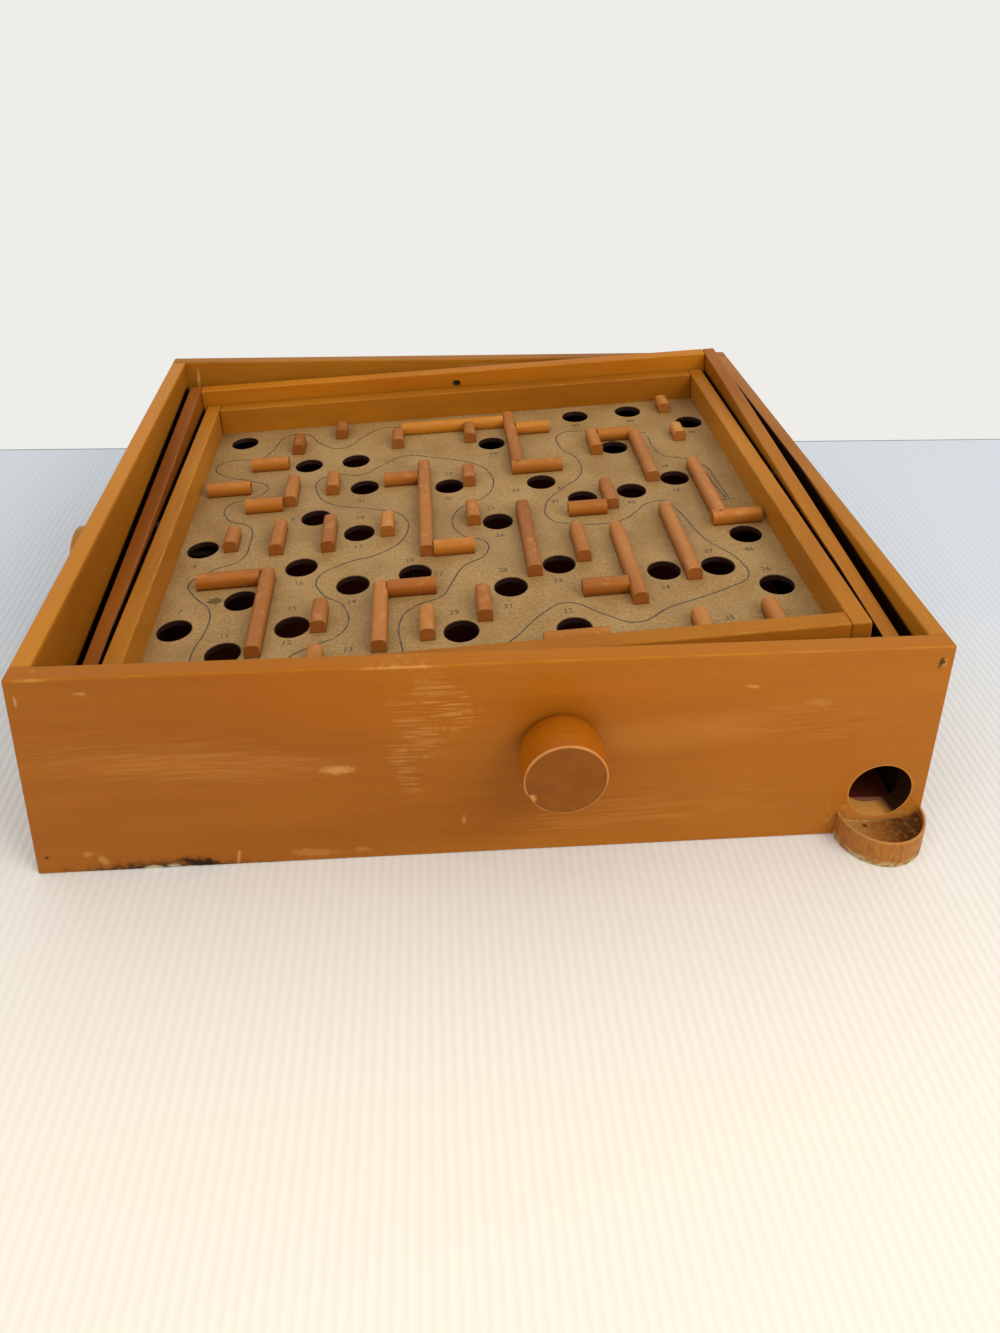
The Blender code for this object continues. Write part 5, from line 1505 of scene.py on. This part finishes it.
knot_reach = vectors(tree, "DISTANCE", across, CUP_KNOT_PLACE)
knot = mapped(tree, knot_reach, (1.5 * MM, 0.7 * MM), (0.0, 0.85))
knot = maths(tree, "MULTIPLY", knot, above_floor)
pocket_dark = maths(tree, "MAXIMUM", pocket_dark, knot)
pocket_darkened = mixed(tree, pocket_dark, paled, "44280F")
# Knocks run up and down its outside, its foot is scrubbed grey, and its rim is bare
scratch_lines = vectors(tree, "MULTIPLY", place, (1.0, 1.0, 0.25))
scratches = noise_at(tree, scratch_lines, 1.3 * MM, 3.0)
knocks = mapped(tree, scratches, (0.46, 0.66), (0.0, 0.5))
knocked = mixed(tree, knocks, pocket_darkened, "74421C")
near_foot = mapped(tree, height, (3.6 * MM, 0.6 * MM), (0.0, 1.5))
blotched = mapped(tree, patch, (0.42, 0.56))
outside = maths(tree, "GREATER_THAN", radius, CUP_RADIUS - 1.2 * MM)
blotched = maths(tree, "MULTIPLY", blotched, outside)
scrubbed = maths(tree, "MULTIPLY", near_foot, blotched, use_clamp=True)
footed = mixed(tree, scrubbed, knocked, "B4A070")
near_top = mapped(tree, height, (CUP_HEIGHT - 0.7 * MM, CUP_HEIGHT - 0.1 * MM))
bare = maths(tree, "MULTIPLY", near_top, 0.55)
worn = mixed(tree, bare, footed, "C08A4C")
relief = add_node(tree, "ShaderNodeBump", {"Height": patch, "Distance": 0.3 * MM, "Strength": 0.4})
set_inputs(shader, Base_Color=worn, Roughness=0.55, Normal=relief, Specular_IOR_Level=0.2)
dress(cup, "case", cup_wood, "turned_beech", "ball_cup")


# Table and light: a pale ribbed table top that ends a little way behind the game, in a bright even room,
# with one broad soft lamp at the front right and a weak one at the left. The camera stands over the front
# knob, and its shift is for a picture cut from the upper part of a larger one.
PHOTO_WIDTH_PX = 1000
PHOTO_HEIGHT_PX = 1333
PRINCIPAL_X_PX = 491.2
PRINCIPAL_Y_PX = 377.6
FOCAL_PX = 1046.45
CAMERA_FROM_MIDDLE = Vector((-0.0330, -0.48035, 0.34203))
CAMERA_RIGHT_DEG = 5.10
CAMERA_DOWN_DEG = 22.37
CAMERA_ROLL_DEG = 1.15
SENSOR_MM = 36.0
TABLE_SIZE = 6.0
TABLE_BACK = 0.2285
TABLE_TURN_DEG = -1.1
TABLE_THICKNESS = 0.02
EDGE_LINE = 1.5 * MM
RIB_PITCH = 3.8 * MM
LAMP_SIZE = 0.7


def add_light(name, place, aim, watts, colour):
    """A square soft lamp at a place, turned to a point."""
    lamp = bpy.data.lights.new(name, "AREA")
    lamp.shape = "SQUARE"
    lamp.size = LAMP_SIZE
    lamp.energy = watts
    lamp.color = hex_colour(colour)[:3]
    light = in_scene(name, lamp)
    light.location = place
    light.rotation_euler = (Vector(aim) - Vector(place)).to_track_quat("-Z", "Y").to_euler()


bm = bmesh.new()
bmesh.ops.create_cube(bm, size=1.0)
bmesh.ops.scale(bm, vec=(TABLE_SIZE, TABLE_SIZE, TABLE_THICKNESS), verts=bm.verts)
bmesh.ops.translate(bm, vec=(0.0, TABLE_BACK - TABLE_SIZE / 2, -TABLE_THICKNESS / 2), verts=bm.verts)
bmesh.ops.rotate(bm, cent=(0.0, 0.0, 0.0), matrix=Matrix.Rotation(math.radians(TABLE_TURN_DEG), 3, "Z"),
                 verts=bm.verts)
table = raw_object(bm, "table")
# Ribbed table top: matt, painted warm white near the front lamp and bluer to the back as painted light, with
# a grey line along its back edge as a painted shadow
ribbed_top, tree, shader = new_material("ribbed table top")
seen = seen_point(tree)
table_turn = (0.0, 0.0, math.radians(TABLE_TURN_DEG))
place = add_node(tree, "ShaderNodeMapping", {"Vector": seen, "Rotation": table_turn}, vector_type="TEXTURE")
back = component(tree, place, "Y")
farther = mapped(tree, back, (-0.26, 0.02))
tint = mixed(tree, farther, "F2EBDE", "D0D8E2")
ribs = add_node(tree, "ShaderNodeTexWave", {"Vector": place, "Scale": math.pi / (10 * RIB_PITCH),
                                            "Distortion": 0.6}, wave_type="BANDS").outputs["Fac"]
# The ribs are also painted as faint darker stripes, painted shade of their relief
shade = mapped(tree, ribs, to=(0.95, 1.0))
ribbed = vectors(tree, "SCALE", tint, shade)
# A grey line along the back edge is a painted shadow of the gap behind the table
at_edge = mapped(tree, back, (TABLE_BACK - EDGE_LINE, TABLE_BACK - 0.6 * EDGE_LINE))
edged = mixed(tree, at_edge, ribbed, "84888C")
relief = add_node(tree, "ShaderNodeBump", {"Height": ribs, "Distance": 0.3 * MM, "Strength": 0.5})
set_inputs(shader, Base_Color=edged, Roughness=0.85, Normal=relief, Specular_IOR_Level=0.2)
table.data.materials.append(ribbed_top)

room = bpy.data.worlds.new("pale room")
room.use_nodes = True
bpy.context.scene.world = room
bpy.context.scene.view_settings.view_transform = "Standard"
fill(room.node_tree.nodes["Background"].inputs["Color"], "EEEDE9")
fill(room.node_tree.nodes["Background"].inputs["Strength"], 1.0)
aim = case_middle + Vector((0.0, 0.0, 0.05))
add_light("broad_lamp", case_middle + Vector((0.75, -0.9, 0.95)), aim, 8.6, "FFF8EE")
add_light("left_lamp", case_middle + Vector((-0.7, -0.8, 1.1)), aim, 2.0, "FFFCF8")

lens = bpy.data.cameras.new("photo_camera")
lens.sensor_width = SENSOR_MM
lens.lens = FOCAL_PX * SENSOR_MM / PHOTO_HEIGHT_PX
lens.shift_x = (PHOTO_WIDTH_PX / 2 - PRINCIPAL_X_PX) / PHOTO_HEIGHT_PX
lens.shift_y = (PRINCIPAL_Y_PX - PHOTO_HEIGHT_PX / 2) / PHOTO_HEIGHT_PX
lens.clip_start = 0.01
camera = in_scene("photo_camera", lens)
turn = (Matrix.Rotation(math.radians(-CAMERA_RIGHT_DEG), 3, "Z")
        @ Matrix.Rotation(math.radians(90 - CAMERA_DOWN_DEG), 3, "X")
        @ Matrix.Rotation(math.radians(CAMERA_ROLL_DEG), 3, "Z"))
camera.matrix_world = Matrix.Translation(case_middle + CAMERA_FROM_MIDDLE) @ turn.to_4x4()
bpy.context.scene.camera = camera

bpy.context.view_layer.update()
